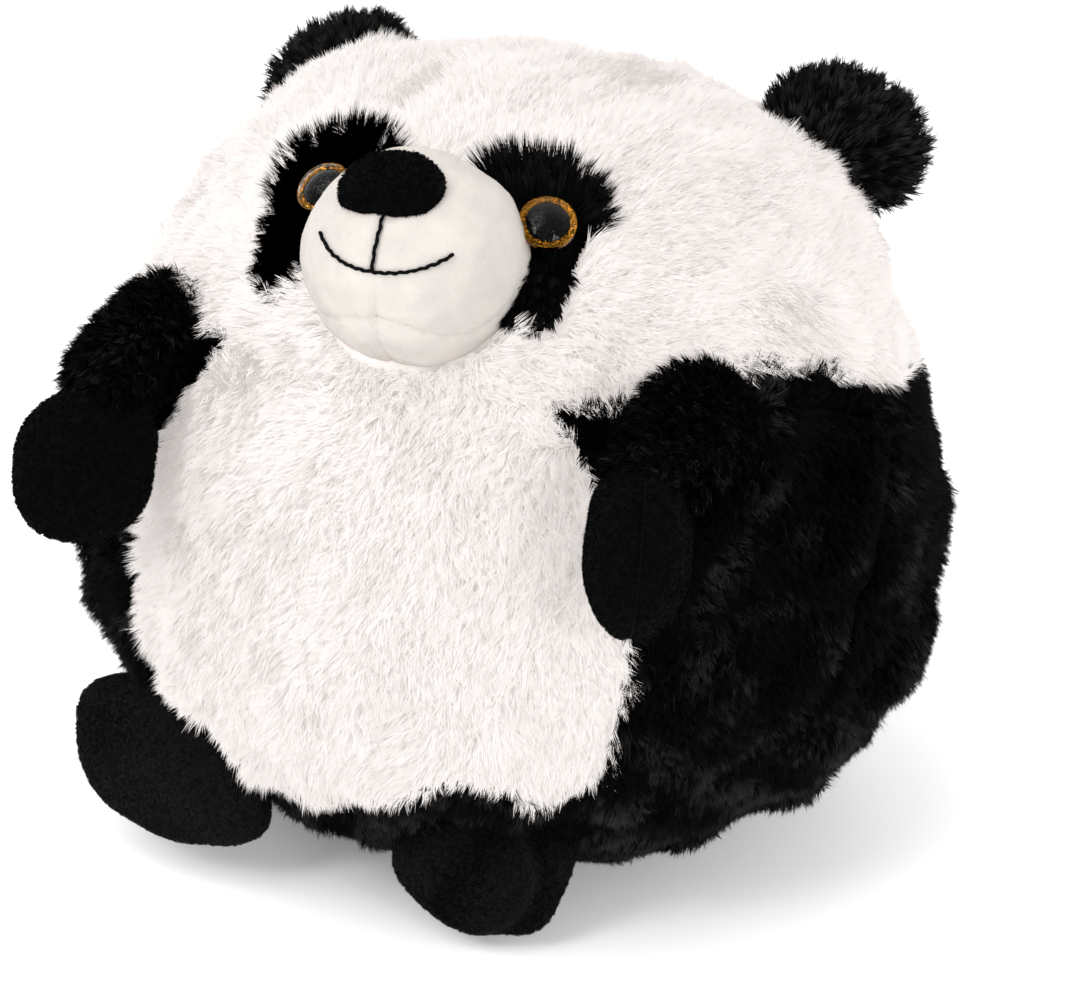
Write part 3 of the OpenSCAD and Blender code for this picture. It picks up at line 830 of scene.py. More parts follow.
def make_body_pile():
    plain = scatter_body(COAT_CLUMPS)
    roots, normals = on_surface(plain, ROOT_DEPTH * fade_to_base(plain[:, 2]))
    code = region(plain)
    clear = ~((slot_distance(plain) < 0.5) & (np.abs(plain[:, 0]) > SLOT_X))
    clear &= np.linalg.norm(roots - MUZZLE_AT, axis=1) > MUZZLE_R + 0.5
    clear &= (patch_depth(plain, 1) < -1.5) & (patch_depth(plain, -1) < -1.5)
    for foot in FOOT.values():
        local = (roots - foot["at"]) @ foot["turn"]
        edge = foot["radius"](np.arctan2(local[:, 1], local[:, 0])) + FOOT_ROOM
        clear &= ~((np.hypot(local[:, 0], local[:, 1]) < edge) & (np.abs(local[:, 2]) < 15 + FOOT_ROOM))
    comb = body_comb(plain, normals, code <= 1)
    for i, (node, slot, _) in enumerate(PANELS[:-1]):
        keep = clear & (code == i)
        white = slot == "white_plush"
        coat, material = (WHITE_COAT, WHITE_PILE) if white else (BLACK_COAT, BLACK_PILE)
        length = coat.length * (1 + 0.16 * noise(plain[keep], 24, 7))
        length *= 0.25 + 0.75 * fade_to_base(plain[keep, 2])
        chosen = np.flatnonzero(keep)
        parts = max(1, math.ceil(len(chosen) * coat.strands / MOST_STRANDS))
        order = chosen[np.argsort(plain[chosen, 2])]
        rank = np.empty(len(plain), int)
        rank[order] = np.arange(len(order)) * parts // max(len(order), 1)
        long = np.zeros(len(plain))
        long[keep] = length
        for part in range(parts):
            mine = keep & (rank == part)
            # The black pile is painted lighter lower down, standing for light on the lower flanks, and
            # lighter in broad random patches of painted sheen.
            height = np.clip((110 - plain[mine, 2]) / 90, -0.4, 1)
            tint = 0.0 if white else 0.3 * noise(plain[mine], 26, 6) + 0.46 * height - 0.25
            grown = grow(roots[mine], normals[mine], comb[mine], coat, long[mine], tint=tint)
            add_pile("pile_%s_%d" % (node, part + 1), grown, material, "body", slot)


# ---------------------------------------------------------------- muzzle, nose and mouth

MUZZLE_SQUASH = np.array([1.0, 1.0, 0.95])
MUZZLE_FUZZ = Pile(0.7, 0.8, 0.6, 3, 0.11, 0.1, soft=1.0, wander=0.9)
NOSE_FUZZ = Pile(1.3, 0.9, 0.5, 3, 0.24, 0.2, soft=0.6, wander=0.8)
# The way short pile lies where nothing combs it otherwise
DOWN = (0.0, -0.2, -1.0)
NOSE_EL = math.radians(55)
NOSE_TURN = turned((0, 1, 0), -4.0)
NOSE_OUT = NOSE_TURN @ np.array([0, -math.cos(NOSE_EL), math.sin(NOSE_EL)])
NOSE_UP = NOSE_TURN @ np.array([0, math.sin(NOSE_EL), math.cos(NOSE_EL)])
NOSE_SIDE = NOSE_TURN @ np.array([1.0, 0, 0])


def ball(radius, divisions):
    """Points and triangles of an even ball."""
    mesh = bmesh.new()
    bmesh.ops.create_icosphere(mesh, subdivisions=divisions, radius=radius)
    mesh.verts.ensure_lookup_table()
    points = np.array([v.co[:] for v in mesh.verts])
    faces = np.array([[v.index for v in f.verts] for f in mesh.faces])
    mesh.free()
    return points, faces


def over_chin_seam(p):
    """Degrees from the chin seam up to each point of the plain ball; the seam is lowest at its sides."""
    return np.degrees(np.arctan2(p[:, 2], -p[:, 1])) + 22 + 14 * (p[:, 0] / 20) ** 2


def muzzle_relief(p):
    """Height of the muzzle's cloth over its plain ball: seams pull in, panels swell between them."""
    x, y, z = p.T
    chin = np.radians(over_chin_seam(p)) * MUZZLE_R
    low = np.clip((-z + 6) / 10, 0.25, 1)
    out = -0.9 * bump(x, 0.9) * low - 0.5 * bump(x, 3.5) * low
    out += np.where(y < 0, -0.9 * bump(chin, 0.9) - 0.6 * bump(chin, 4), 0)
    pucker = np.sin(z * 2.1) * bump(np.abs(x) - 1.6, 1.2) * low
    pucker += np.sin(x * 2.0) * bump(np.abs(chin) - 1.6, 1.2)
    return out + 0.10 * pucker + 0.35 * noise(p, 26, 2) + 0.12 * noise(p, 9, 3)


def make_muzzle():
    points, faces = ball(MUZZLE_R, 6)
    p = points[faces].mean(1)
    upper = over_chin_seam(p) > 0
    surface = points + unit(points) * muzzle_relief(points)[:, None]
    surface = surface * MUZZLE_SQUASH + MUZZLE_AT
    world = surface[faces].mean(1)
    outside = np.hypot(world[:, 0], world[:, 1]) > body_radius(world[:, 2]) - 11
    # Scattering wants quads, so each triangle repeats its last corner
    quads = np.concatenate([faces, faces[:, 2:]], axis=1)
    for part, side in (("upper", 1), ("upper", -1), ("chin", 1), ("chin", -1)):
        name = "muzzle_%s_%s" % (part, side_name(side))
        mine = outside & (upper == (part == "upper")) & (p[:, 0] * side > 0)
        kept, index = used_only(surface, faces[mine])
        add_piece(name + "_cover", kept, as_loops(index), MUZZLE_CLOTH, "body", "muzzle_velour", [name])
        roots, normals = scatter_on(surface, quads[mine], 1.5)
        seen = nose_depth(roots) <= 0
        roots, normals = roots[seen], normals[seen]
        grown = grow(roots - normals * 0.4, normals, np.tile(DOWN, (len(roots), 1)), MUZZLE_FUZZ)
        add_pile(name + "_pile", grown, MUZZLE_PILE, "body", "muzzle_velour")
    inner, inner_faces = ball(MUZZLE_R - 3, 3)
    inner = inner * MUZZLE_SQUASH + MUZZLE_AT
    inner += 0.5 * unit(inner - MUZZLE_AT) * noise(inner, 14, 1)[:, None]
    add_piece("muzzle_filling", inner, as_loops(inner_faces), FIBRE, "body", "filling", ["muzzle_stuffing"])


# Half of the nose's outline, (across, up) from its lowest point to its highest
NOSE_OUTLINE = [(0, -11.5), (9, -11.5), (16, -8), (19, -0.5), (17, 7), (10, 13), (0, 15.2)]


def nose_radius(angle):
    """Distance from the nose's middle to its edge, by angle from straight down."""
    across, up = np.array(NOSE_OUTLINE, float).T
    at, reach = np.arctan2(across, -up), np.hypot(across, up)
    a = np.abs((angle + math.pi) % (2 * math.pi) - math.pi)
    at = np.concatenate([-at[:0:-1], at, 2 * math.pi - at[-2::-1]])
    reach = np.concatenate([reach[:0:-1], reach, reach[-2::-1]])
    fine = np.linspace(-0.6, math.pi + 0.6, 200)
    return np.interp(a, fine, smoothed(np.interp(fine, at, reach), 25))


def nose_depth(points):
    """How far inside the nose's outline a point of the muzzle is; negative outside."""
    rel = unit((points - MUZZLE_AT) / MUZZLE_SQUASH) * MUZZLE_R
    across, up = rel @ NOSE_SIDE, rel @ NOSE_UP
    inside = nose_radius(np.arctan2(across, -up)) - np.hypot(across, up)
    return np.where(rel @ NOSE_OUT > 0, inside, -20)


def nose_dome(height, share, rings=22, sides=96):
    """Points and quads of the nose's padded top; share is its size as a share of the outline."""
    a = np.linspace(0, 2 * math.pi, sides, endpoint=False)
    edge = nose_radius(a)[:, None] * np.stack([np.sin(a), -np.cos(a)], -1)
    points = []
    for q in np.sin(np.linspace(0.03, 1, rings) * math.pi / 2):
        flat = edge * q * share
        direction = unit(NOSE_OUT * MUZZLE_R + flat[:, :1] * NOSE_SIDE + flat[:, 1:] * NOSE_UP)
        rise = height * (1 - q ** 3.0) ** 0.6 - 0.8 * q ** 12
        ripple = 0.22 * np.sin(a * 34) * bump(q - 0.95, 0.05)
        points.append(MUZZLE_AT + direction * (MUZZLE_R + rise + ripple)[:, None] * MUZZLE_SQUASH)
    points = np.concatenate(points)
    points += 0.35 * NOSE_OUT * noise(points, 15, 4)[:, None]
    faces = grid_faces(rings, sides)
    return points, faces, capped(faces, rings, sides, last=False)


def make_nose():
    points, faces, closed = nose_dome(5.0, 1.0)
    add_piece("nose", points, closed, VELOUR_CLOTH, "body", "black_velour", ["nose_cover"])
    roots, normals = scatter_on(points, faces, 2.2)
    normals = normals * np.sign((normals * NOSE_OUT).sum(1, keepdims=True))
    comb = np.tile([0.0, -0.3, -1.0], (len(roots), 1))
    add_pile("nose_pile", grow(roots - normals * 0.3, normals, comb, NOSE_FUZZ), VELOUR_PILE, "body",
             "black_velour")
    points, _, closed = nose_dome(3.6, 0.9)
    add_piece("nose_filling", points - NOSE_OUT * 0.6, closed, FIBRE, "body", "filling", ["nose_padding"])


def thread_row(path, stitch, radius):
    """Separate stitches of thread, end to end along a path, each thin at its ends."""
    path = np.asarray(path) + 0
    wobble = np.arange(len(path)) * 0.9
    path[:, 0] += 0.16 * np.sin(wobble)
    path[:, 2] += 0.16 * np.sin(wobble * 1.3 + 1)
    length = np.concatenate([[0], np.cumsum(np.linalg.norm(np.diff(path, axis=0), axis=1))])
    count = max(1, round(length[-1] / stitch))
    radii = radius * (0.55 + 0.45 * np.sin(np.linspace(0.12, 0.88, 9) * math.pi))
    stitches = []
    for i in range(count):
        at = np.linspace(i - 0.06, i + 1.06, 9) * length[-1] / count
        line = np.stack([np.interp(at, length, path[:, k]) for k in range(3)], -1)
        stitches.append(tube(line, radii, 8))
    return joined(stitches)


def on_muzzle(directions, rise):
    """Points over the muzzle's cloth, in the given directions from its middle."""
    d = unit(np.asarray(directions, float))
    p = d * MUZZLE_R
    return (p + d * (muzzle_relief(p) + rise)[:, None]) * MUZZLE_SQUASH + MUZZLE_AT


# The smile is the lowest part of a circle on the muzzle, about SMILE_OUT; SMILE_UP is its upward radius
SMILE_OUT, SMILE_UP = np.array([0, -0.599, 0.801]), np.array([0, 0.801, 0.599])


def make_mouth():
    el = np.radians(np.linspace(38, 7, 30))
    under_nose = on_muzzle(np.stack([0 * el, -np.cos(el), np.sin(el)], -1), 0.9)
    a = np.radians(57) * np.linspace(-1, 1, 90)
    ring = np.stack([np.sin(a), 0 * a, 0 * a], -1) - np.cos(a)[:, None] * SMILE_UP
    smile = on_muzzle(24.0 * SMILE_OUT + 25.5 * ring, 0.55)
    points, faces = joined([thread_row(path, 2.0, 0.62) for path in (under_nose, smile)])
    add_piece("mouth_thread", points, faces, THREAD, "body", "thread", ["mouth_stitches"])


def make_closing_thread():
    low, high = node_box("closing_stitches")
    stitches = []
    for z in np.linspace(low[2] + 1, high[2] - 1, 7):
        x = np.linspace(low[0], high[0], 8)
        plain = np.stack([x, np.sqrt(body_radius(z) ** 2 - x ** 2), np.full(8, z)], -1)
        stitches.append(thread_row(on_surface(plain, 0.6 * ROOT_DEPTH)[0], 8.0, 0.7))
    points, faces = joined(stitches)
    add_piece("closing_thread", points, faces, THREAD, "body", "thread", ["closing_stitches"])


# ---------------------------------------------------------------- eyes and their patches

def in_eye(local, side):
    """Points from the eye's own axes to the toy's."""
    return (EYE_AT + np.asarray(local, float) @ EYE_TURN.T) * mirror_of(side)


def lathe(profile, sides):
    """Points and quads of a turned shape from (radius, height) pairs, in its own axes."""
    a = np.linspace(0, 2 * math.pi, sides, endpoint=False)
    rings = [np.stack([r * np.cos(a), r * np.sin(a), np.full(sides, h)], -1) for r, h in profile]
    return np.concatenate(rings), grid_faces(len(profile), sides)


def dome(radius, rise, base, steps):
    """(radius, height) pairs of a spherical cap from its rim to near its middle, base high at its rim."""
    sphere_r = (radius ** 2 + rise ** 2) / (2 * rise)
    r = radius * np.sin(np.linspace(math.pi / 2, 0.02, steps))
    return [(q, base + rise - sphere_r + math.sqrt(sphere_r ** 2 - q ** 2)) for q in r]


# (radius, height) pairs round each turned piece of the eye
IRIS_TOP = [(8.4, 2.5), (7.6, 2.1), (5.2, 1.9)]
IRIS_PROFILE = [(2.6, 0.2), (8.7, 0.2), (9.0, 0.5), (9.0, 2.2), (8.8, 2.5)] + IRIS_TOP + [(2.6, 1.9)]
PUPIL_PROFILE = [(2.3, -11.9), (2.4, -11.6), (2.4, 2.1), (6.7, 2.1), (6.85, 2.3)] + dome(6.8, 2.2, 2.4, 12)
LENS_PROFILE = dome(8.2, 3.6, 2.62, 14)[::-1] + [(8.9, 2.62)] + dome(8.95, 4.3, 2.75, 16)
EYE_SIDES = 64
FLAKES = 420


def glitter_flake():
    """One six-sided flake that lies loosely on the iris."""
    r, a = rng.uniform(6.7, 8.5), rng.uniform(0, 2 * math.pi)
    size, spin = rng.uniform(0.16, 0.34), rng.uniform(0, math.pi)
    tilt = rng.normal(0, 0.32, 2)
    corner = spin + np.arange(6) * math.pi / 3
    x, y = size * np.cos(corner), size * np.sin(corner)
    radii, heights = np.array(IRIS_TOP[::-1]).T
    height = np.interp(r, radii, heights) + 0.14
    return np.stack([r * math.cos(a) + x, r * math.sin(a) + y, height + x * tilt[0] + y * tilt[1]], -1)


def make_eye(side):
    name = side_name(side)
    points, faces = lathe(IRIS_PROFILE, EYE_SIDES)
    flakes = [(glitter_flake(), [ring_face(0, 6)]) for _ in range(FLAKES)]
    points, faces = joined([(points, faces.tolist())] + flakes)
    add_piece("iris_" + name, in_eye(points, side), turned_faces(faces, side), IRIS, "body", "iris",
              ["eye_iris_" + name], smooth=False)
    for piece, profile, material, slot, node in (("pupil_", PUPIL_PROFILE, PUPIL, "pupil", "eye_pupil_"),
                                                 ("dome_", LENS_PROFILE, CLEAR, "eye_clear", "eye_lens_")):
        points, faces = lathe(profile, EYE_SIDES)
        faces = turned_faces(capped(faces, len(profile), EYE_SIDES), side)
        add_piece(piece + name, in_eye(points, side), faces, material, "body", slot, [node + name])


def body_hit(across, up):
    """Points of the plain body under (across, up) of the left eye's axes."""
    low, high = np.full(len(across), -60.0), np.full(len(across), 20.0)
    for _ in range(34):
        middle = (low + high) / 2
        p = EYE_AT + np.stack([across, up, middle], -1) @ EYE_TURN.T
        inside = np.hypot(p[:, 0], p[:, 1]) < body_radius(p[:, 2])
        low, high = np.where(inside, middle, low), np.where(inside, high, middle)
    return EYE_AT + np.stack([across, up, low], -1) @ EYE_TURN.T


# The pile leaves the eye free
EYE_HOLE_R = 8.6
PATCH_COAT = Pile(12.0, 0.72, 1.3, 8, 0.46, 0.88, group=4.8, group_pull=0.8, wander=0.2, bow=0.1)


def patch_comb(across, up, inward):
    """The way the pile lies round an eye: outward, but towards the eye where inward is true."""
    x_axis, y_axis = EYE_TURN[:, 0], EYE_TURN[:, 1]
    way = across[:, None] * x_axis + (up + 3)[:, None] * y_axis
    way += np.where(up < -8, -8.0, 0.0)[:, None] * y_axis
    return np.where(inward[:, None], -way, way)


def make_patch(side):
    name = side_name(side)
    mirror = mirror_of(side)
    across, up = np.meshgrid(np.arange(-27, 27.1, 1.0), np.arange(-40, 27.1, 1.0))
    plain = body_hit(across.ravel(), up.ravel())
    quads = grid_faces(*across.shape, wrap=False)
    middle = plain[quads].mean(1)
    keep = patch_depth(middle * mirror, side) > -0.5
    keep &= np.linalg.norm(middle - MUZZLE_AT, axis=1) > MUZZLE_R - 7
    points, faces = used_only(on_surface(plain, ROOT_DEPTH - 0.4)[0], quads[keep])
    add_piece("patch_" + name, points * mirror, as_loops(turned_faces(faces, side)), BLACK_CLOTH, "body",
              "eye_patch_plush", ["eye_patch_" + name])
    clumps = 4000
    across = rng.uniform(-26, 26, clumps)
    up = rng.uniform(-38, 25, clumps)
    plain = body_hit(across, up)
    roots, normals = on_surface(plain, ROOT_DEPTH)
    depth = patch_depth(plain * mirror, side)
    from_eye = np.hypot(across, up)
    keep = (depth > 0) & (from_eye > EYE_HOLE_R) & (np.linalg.norm(roots - MUZZLE_AT, axis=1) > MUZZLE_R - 1)
    across, up, depth, from_eye = (v[keep] for v in (across, up, depth, from_eye))
    lower_outer = (from_eye < 13) & (across > 0) & (up < 1)
    rim = bump(np.clip(depth, 0, None), 7) * np.clip((up + 8) / 12, 0, 1)
    length = 8.0 + 5.5 * rim + 2.0 * np.clip((up - 4) / 8, 0, 1)
    length = np.where(lower_outer, 12.0, length)
    comb = patch_comb(across, up, lower_outer)
    points, faces, uv, shade = grow(roots[keep], normals[keep], comb, PATCH_COAT, length)
    add_piece("patch_pile_" + name, points * mirror, faces, PATCH_PILE, "body", "eye_patch_plush", uv=uv,
              normals=shade * mirror)


# ---------------------------------------------------------------- pillows: ears, paws and feet

def ring_interp(angles, values):
    """A smooth closed curve of radius by angle through a few values, angles in degrees."""
    at = np.radians(np.concatenate([[a - 360 for a in angles], angles, [a + 360 for a in angles]]))
    fine = np.linspace(-2 * math.pi, 2 * math.pi, 721)
    curve = smoothed(np.interp(fine, at, np.tile(np.asarray(values, float), 3)), 41)
    return lambda a: np.interp((a + math.pi) % (2 * math.pi) - math.pi, fine, curve)


PILLOW_SIDES = 120
# Folds fade out below this height over the seam
PILLOW_RIM = 4.0


def pillow(radius, thick, front, rings=30, sides=PILLOW_SIDES, full=2.4, relief=None):
    """Half of a stuffed pillow in its own axes, seam in the XY plane, front half towards +Z. Its edge is at
    radius(angle), and a larger full makes it fuller near its edge."""
    a = np.linspace(0, 2 * math.pi, sides, endpoint=False)
    edge = radius(a)
    points = []
    for t in np.linspace(1.0, 0.0, rings):
        tilt = t * math.pi / 2
        q = max(math.sin(tilt), 0.02) ** (2 / full)
        h = thick * math.cos(tilt) ** (2 / full)
        pinch = 0.9 * bump(h, 1.6)
        ripple = 0.25 * np.sin(a * 46 + 2 * np.sin(a * 3)) * bump(h - 2.2, 2.0)
        r = edge * q - pinch + ripple
        points.append(np.stack([r * np.cos(a), r * np.sin(a), np.full(sides, h)], -1))
    points = np.concatenate(points)
    uneven = 0.5 * noise(points, 24, 5) + 0.15 * noise(points, 8, 6)
    points[:, 2] += uneven * np.clip(points[:, 2] / PILLOW_RIM, 0, 1)
    if relief is not None:
        points[:, 2] += relief(points[:, 0], points[:, 1]) * np.clip(points[:, 2] / PILLOW_RIM, 0, 1)
    faces = grid_faces(rings, sides)
    if not front:
        points = points * (1, 1, -1)
        faces = faces[:, ::-1]
    return points, faces


def half_cover(node, points, faces, front, mirrored, cloth, body, slot, sides=PILLOW_SIDES):
    """The cloth of one half of a pillow, closed in its middle."""
    middle = ring_face(len(points) - sides, sides, front != mirrored)
    add_piece(node + "_cover", points, faces.tolist() + [middle], cloth, body, slot, [node])


def seam_edge(radius):
    """A thin stitched roll of cloth where the two halves of a pillow meet."""
    a = np.linspace(0, 2 * math.pi, 161)
    r = radius(a) - 0.75
    path = np.stack([r * np.cos(a), r * np.sin(a), 0 * a], -1)
    return tube(path, 0.5 + 0.12 * np.sin(a * 60), 7)


def fuzz(name, points, faces, material, body, slot, density, pile, comb=None, blend=None, keep=None,
         tint=0.0):
    """Pile all over a mesh, where keep(roots) is true. The comb and, where it varies, the tint are
    functions of the roots too."""
    roots, normals = scatter_on(points, faces, density * (1))
    if keep is not None:
        mine = keep(roots)
        roots, normals = roots[mine], normals[mine]
    way = comb(roots) if comb else np.tile(DOWN, (len(roots), 1))
    tone = tint(roots) if callable(tint) else tint
    add_pile(name, grow(roots - normals * 0.35, normals, way, pile, tint=tone), material, body, slot, blend)


EAR_TURN = turned((0, 0, 1), 25) @ turned((1, 0, 0), 43) @ turned((0, 0, 1), -45)
EAR_AT = EAR_PIVOT - EAR_TURN @ np.array([0, -4.5, 0])
EAR_COAT = Pile(8.4, 0.62, 1.5, 6, 0.42, 0.55, group=5.5, group_pull=0.35, wander=0.4, bow=0.1)
EAR_RADIUS = ring_interp([0, 45, 90, 135, 180, 215, 240, 270, 300, 325],
                         [27, 28, 27.5, 27.5, 27.5, 24.5, 17, 13, 15.5, 22.5])
EAR_THICK = {"front": 7.2, "back": 8.0}
EAR_LOWER = {1: (0, 0, 0), -1: (0, 0, -3.0)}


def make_ear(side):
    name = side_name(side)
    body = "ear_" + name
    mirror = mirror_of(side)

    def place(local):
        return (EAR_AT + local @ EAR_TURN.T) * mirror + EAR_LOWER[side]

    low = place(np.array([[0.0, -14.0, 0.0]]))[0]
    up = EAR_TURN[:, 1] * mirror
    for half in ("front", "back"):
        front = half == "front"
        points, faces = pillow(EAR_RADIUS, EAR_THICK[half], front, full=2.6)
        points, faces = place(points), turned_faces(faces, side)
        node = "ear_%s_%s" % (name, half)
        half_cover(node, points, faces, front, side < 0, BLACK_CLOTH, body, "black_plush")
        fuzz(node + "_pile", points, faces, BLACK_PILE, body, "black_plush", 0.36, EAR_COAT,
             comb=lambda roots: unit(roots - low) + 0.2 * up, tint=0.12)


SHOULDER = joint_place("arm_left_lift")
EIGHTHS = range(0, 360, 45)
# Middle and azimuth of each paw, both as on the panda's left; its thickness and outline; where the sleeve
# ends in it, and how slim and how arched the sleeve is
PAW = {1: dict(at=np.array([89.0, -150.0, 161.0]), az=108.0, thick=15.0, top=(0, 16.0, 0), slim=0.5, arch=5.0,
               radius=ring_interp(EIGHTHS, [24, 26, 27, 26, 24, 26, 28.5, 26])),
       -1: dict(at=np.array([92.0, -151.0, 153.0]), az=-42.0, thick=13.5, top=(-5.0, 15.0, -3.0), slim=1.0,
                arch=9.0, radius=ring_interp(EIGHTHS, [22.5, 24.5, 25, 27, 20.5, 23.5, 25, 26.5]))}
VELOUR_FUZZ = Pile(1.3, 0.9, 0.55, 3, 0.26, 0.2, soft=0.55, wander=0.9)
SOLE_FUZZ = Pile(1.2, 0.9, 0.55, 3, 0.26, 0.2, soft=0.9, wander=0.9)
SLEEVE_COAT = Pile(7.4, 0.8, 1.5, 8, 0.36, 0.45, group=4.0, group_pull=0.3, wander=0.6, soft=0.6)
SLEEVE_SIDES = 48
# Radii at these shares of the way from shoulder to paw
SLEEVE_SHARES, SLEEVE_RADII = [0, 0.35, 0.8, 1], [15.5, 14.0, 11.5, 10.5]
SLEEVE_DEPTH = 12
# Further steps back into the body, which keep the sleeve's open end out of sight
SLEEVE_ROOT = np.array([[12.0], [8.0], [4.0]])
# How much smaller the filling of paws and feet is than their outline
FILLING_GAP = 2.5


def sleeve_line(paw, top):
    """Points and radii of an arm from inside the shoulder to top, in the paw."""
    inward = unit(SHOULDER * (1, 1, 0))
    start = SHOULDER - inward * SLEEVE_DEPTH
    t = np.linspace(0, 1, 26)[:, None]
    bend = (SHOULDER + top) / 2 + np.array([0, -2.0, paw["arch"]])
    path = (1 - t) ** 2 * start + 2 * t * (1 - t) * bend + t ** 2 * top
    radii = np.interp(t[:, 0], SLEEVE_SHARES, SLEEVE_RADII) - paw["slim"]
    path = np.concatenate([start - inward * SLEEVE_ROOT, path])
    return path, np.concatenate([np.repeat(radii[:1], len(SLEEVE_ROOT)), radii])


def make_paw(side, body, place):
    name, paw = side_name(side), PAW[side]
    for half, front in (("outer", True), ("inner", False)):
        points, faces = pillow(paw["radius"], paw["thick"], front, full=2.25)
        points, faces = place(points), turned_faces(faces, side)
        node = "paw_%s_%s" % (half, name)
        half_cover(node, points, faces, front, side < 0, VELOUR_CLOTH, body, "black_velour")
        fuzz(node + "_pile", points, faces, VELOUR_PILE, body, "black_velour", 2.0, VELOUR_FUZZ)
    points, faces = seam_edge(paw["radius"])
    add_piece("paw_seam_" + name, place(points), turned_faces(faces, side), VELOUR_CLOTH, body,
              "black_velour")


def make_arm(side):
    """An arm is shaped on the panda's left, and the right one is then mirrored."""
    name, paw = side_name(side), PAW[side]
    body = "arm_" + name
    mirror = mirror_of(side)
    turn = turned((0, 0, 1), paw["az"]) @ turned((1, 0, 0), 90)

    def place(local):
        return (paw["at"] + local @ turn.T) * mirror

    make_paw(side, body, place)
    top = paw["at"] + turn @ np.array(paw["top"])
    path, radii = sleeve_line(paw, top)
    skip = len(SLEEVE_ROOT)
    start = path[skip]
    points, _ = tube(path, radii, SLEEVE_SIDES, False)
    points += unit(points - np.repeat(path, SLEEVE_SIDES, axis=0)) * (0.8 * noise(points, 22, 3))[:, None]
    points = points * mirror
    faces = turned_faces(grid_faces(len(path), SLEEVE_SIDES), side)
    ends = [(p * mirror * MM).tolist() for p in (start, SHOULDER + (top - SHOULDER) * 0.25)]
    blend = ("body", body, *ends)
    add_piece("sleeve_%s_cover" % name, points, as_loops(faces), BLACK_CLOTH, None, "black_plush",
              ["sleeve_" + name], blend=blend)

    def in_sight(roots):
        left = roots * mirror
        local = (left - paw["at"]) @ turn
        in_paw = (np.hypot(local[:, 0], local[:, 1]) < 22) & (np.abs(local[:, 2]) < 12)
        return (np.hypot(left[:, 0], left[:, 1]) > body_radius(left[:, 2]) - 10) & ~in_paw

    way = unit(top - start) * mirror
    fuzz("sleeve_%s_pile" % name, points, faces, BLACK_PILE, None, "black_plush", 0.55, SLEEVE_COAT,
         comb=lambda roots: np.tile(way, (len(roots), 1)), blend=blend, keep=in_sight, tint=-0.12)
    inner, inner_faces = tube(path[skip:], radii[skip:] - 3.0, 24)
    parts = [(inner * mirror, inner_faces)]
    for front in (True, False):
        p, f = pillow(lambda a: paw["radius"](a) - FILLING_GAP, paw["thick"] - FILLING_GAP, front)
        parts.append((place(p), f.tolist()))
    points, faces = joined(parts)
    add_piece("arm_filling_" + name, points, turned_faces(faces, side), FIBRE, body, "filling",
              ["arm_stuffing_" + name])


# Middle and turn of each foot, thickness of its sole and top halves, and its outline
FOOT = {
    1: dict(at=np.array([39.5, -118.0, 25.5]), turn=turned((0, 0, 1), 18) @ turned((1, 0, 0), 74),
            thick={"sole": 13.0, "top": 15.0},
            radius=ring_interp([18, 50, 90, 125, 150, 176, 212, 255, 285, 317, 345],
                               [30.5, 25, 26, 25.5, 26, 33, 24.5, 22, 22, 27.5, 26])),
    -1: dict(at=np.array([-75.0, -118.0, 39.0]),
             turn=turned((0, 0, 1), -12) @ turned((0, 1, 0), 22) @ turned((1, 0, 0), 78),
             thick={"sole": 12.0, "top": 14.0},
             radius=ring_interp([0, 30, 90, 150, 180, 210, 240, 270, 300, 330],
                                [43, 33, 21, 31, 43, 39.5, 33.5, 27.5, 27.5, 31]))}
FOOT_RINGS, FOOT_SIDES = 36, 140


# The left sole's crease starts at CREASE_AT and runs along CREASE_WAY
CREASE_AT, CREASE_WAY = (-0.5, 12), (-11, -23)


def sole_relief(side):
    """Height of the sole's folds over its plain pillow, as a function of (x, y)."""
    def left(x, y):
        dx, dy = x - CREASE_AT[0], y - CREASE_AT[1]
        along = np.clip((dx * CREASE_WAY[0] + dy * CREASE_WAY[1]) / np.dot(CREASE_WAY, CREASE_WAY), 0, 1)
        d = np.hypot(dx - CREASE_WAY[0] * along, dy - CREASE_WAY[1] * along)
        crease = -4.0 * bump(d, 4.5) - 1.5 * bump(d, 10)
        ring = np.hypot(x + 7, y - 1) - 22.5
        ridge = 1.8 * bump(ring, 1.8) - 2.2 * bump(np.clip(ring, 0, None) - 4, 4) * (ring > 0)
        return crease + ridge * np.clip((x + 12) / 10, 0, 1)

    def right(x, y):
        d = np.hypot((x + 26) / 1.4, y + 1)
        return -3.0 * bump(d, 9) + 0.8 * bump(y + 4 + 0.1 * x, 7)
    return left if side > 0 else right


def make_foot(side):
    name, foot = side_name(side), FOOT[side]
    body = "foot_" + name
    relief = sole_relief(side)

    def place(local):
        return foot["at"] + local @ foot["turn"].T

    # The sole's pile is painted darker in its creases and hollows and lighter on its ridges: painted shade
    # and painted highlight that follow its folds. All the foot's pile is also a little lighter in tone.
    def painted_fold_shading(roots):
        local = (roots - foot["at"]) @ foot["turn"]
        return np.where(local[:, 2] > 0, 0.1 + 0.2 * relief(local[:, 0], local[:, 1]), 0.1)

    filling = []
    for half, thick in foot["thick"].items():
        front = half == "sole"
        points, faces = pillow(foot["radius"], thick, front, FOOT_RINGS, FOOT_SIDES, 2.3,
                               relief if front else None)
        points = place(points)
        node = "foot_%s_%s" % (half, name)
        half_cover(node, points, faces, front, False, SOLE_CLOTH, body, "black_velour", FOOT_SIDES)
        fuzz(node + "_pile", points, faces, SOLE_PILE, body, "black_velour", 2.4, SOLE_FUZZ, tint=painted_fold_shading)
        p, f = pillow(lambda a: foot["radius"](a) - FILLING_GAP, thick - 7.5, front, 20, 60)
        filling.append((place(p), f.tolist()))
    points, faces = seam_edge(foot["radius"])
    add_piece("foot_seam_" + name, place(points), faces, SOLE_CLOTH, body, "black_velour")
    points, faces = joined(filling)
    add_piece("foot_filling_" + name, points, faces, FIBRE, body, "filling", ["foot_stuffing_" + name])


# ---------------------------------------------------------------- camera, light and floor

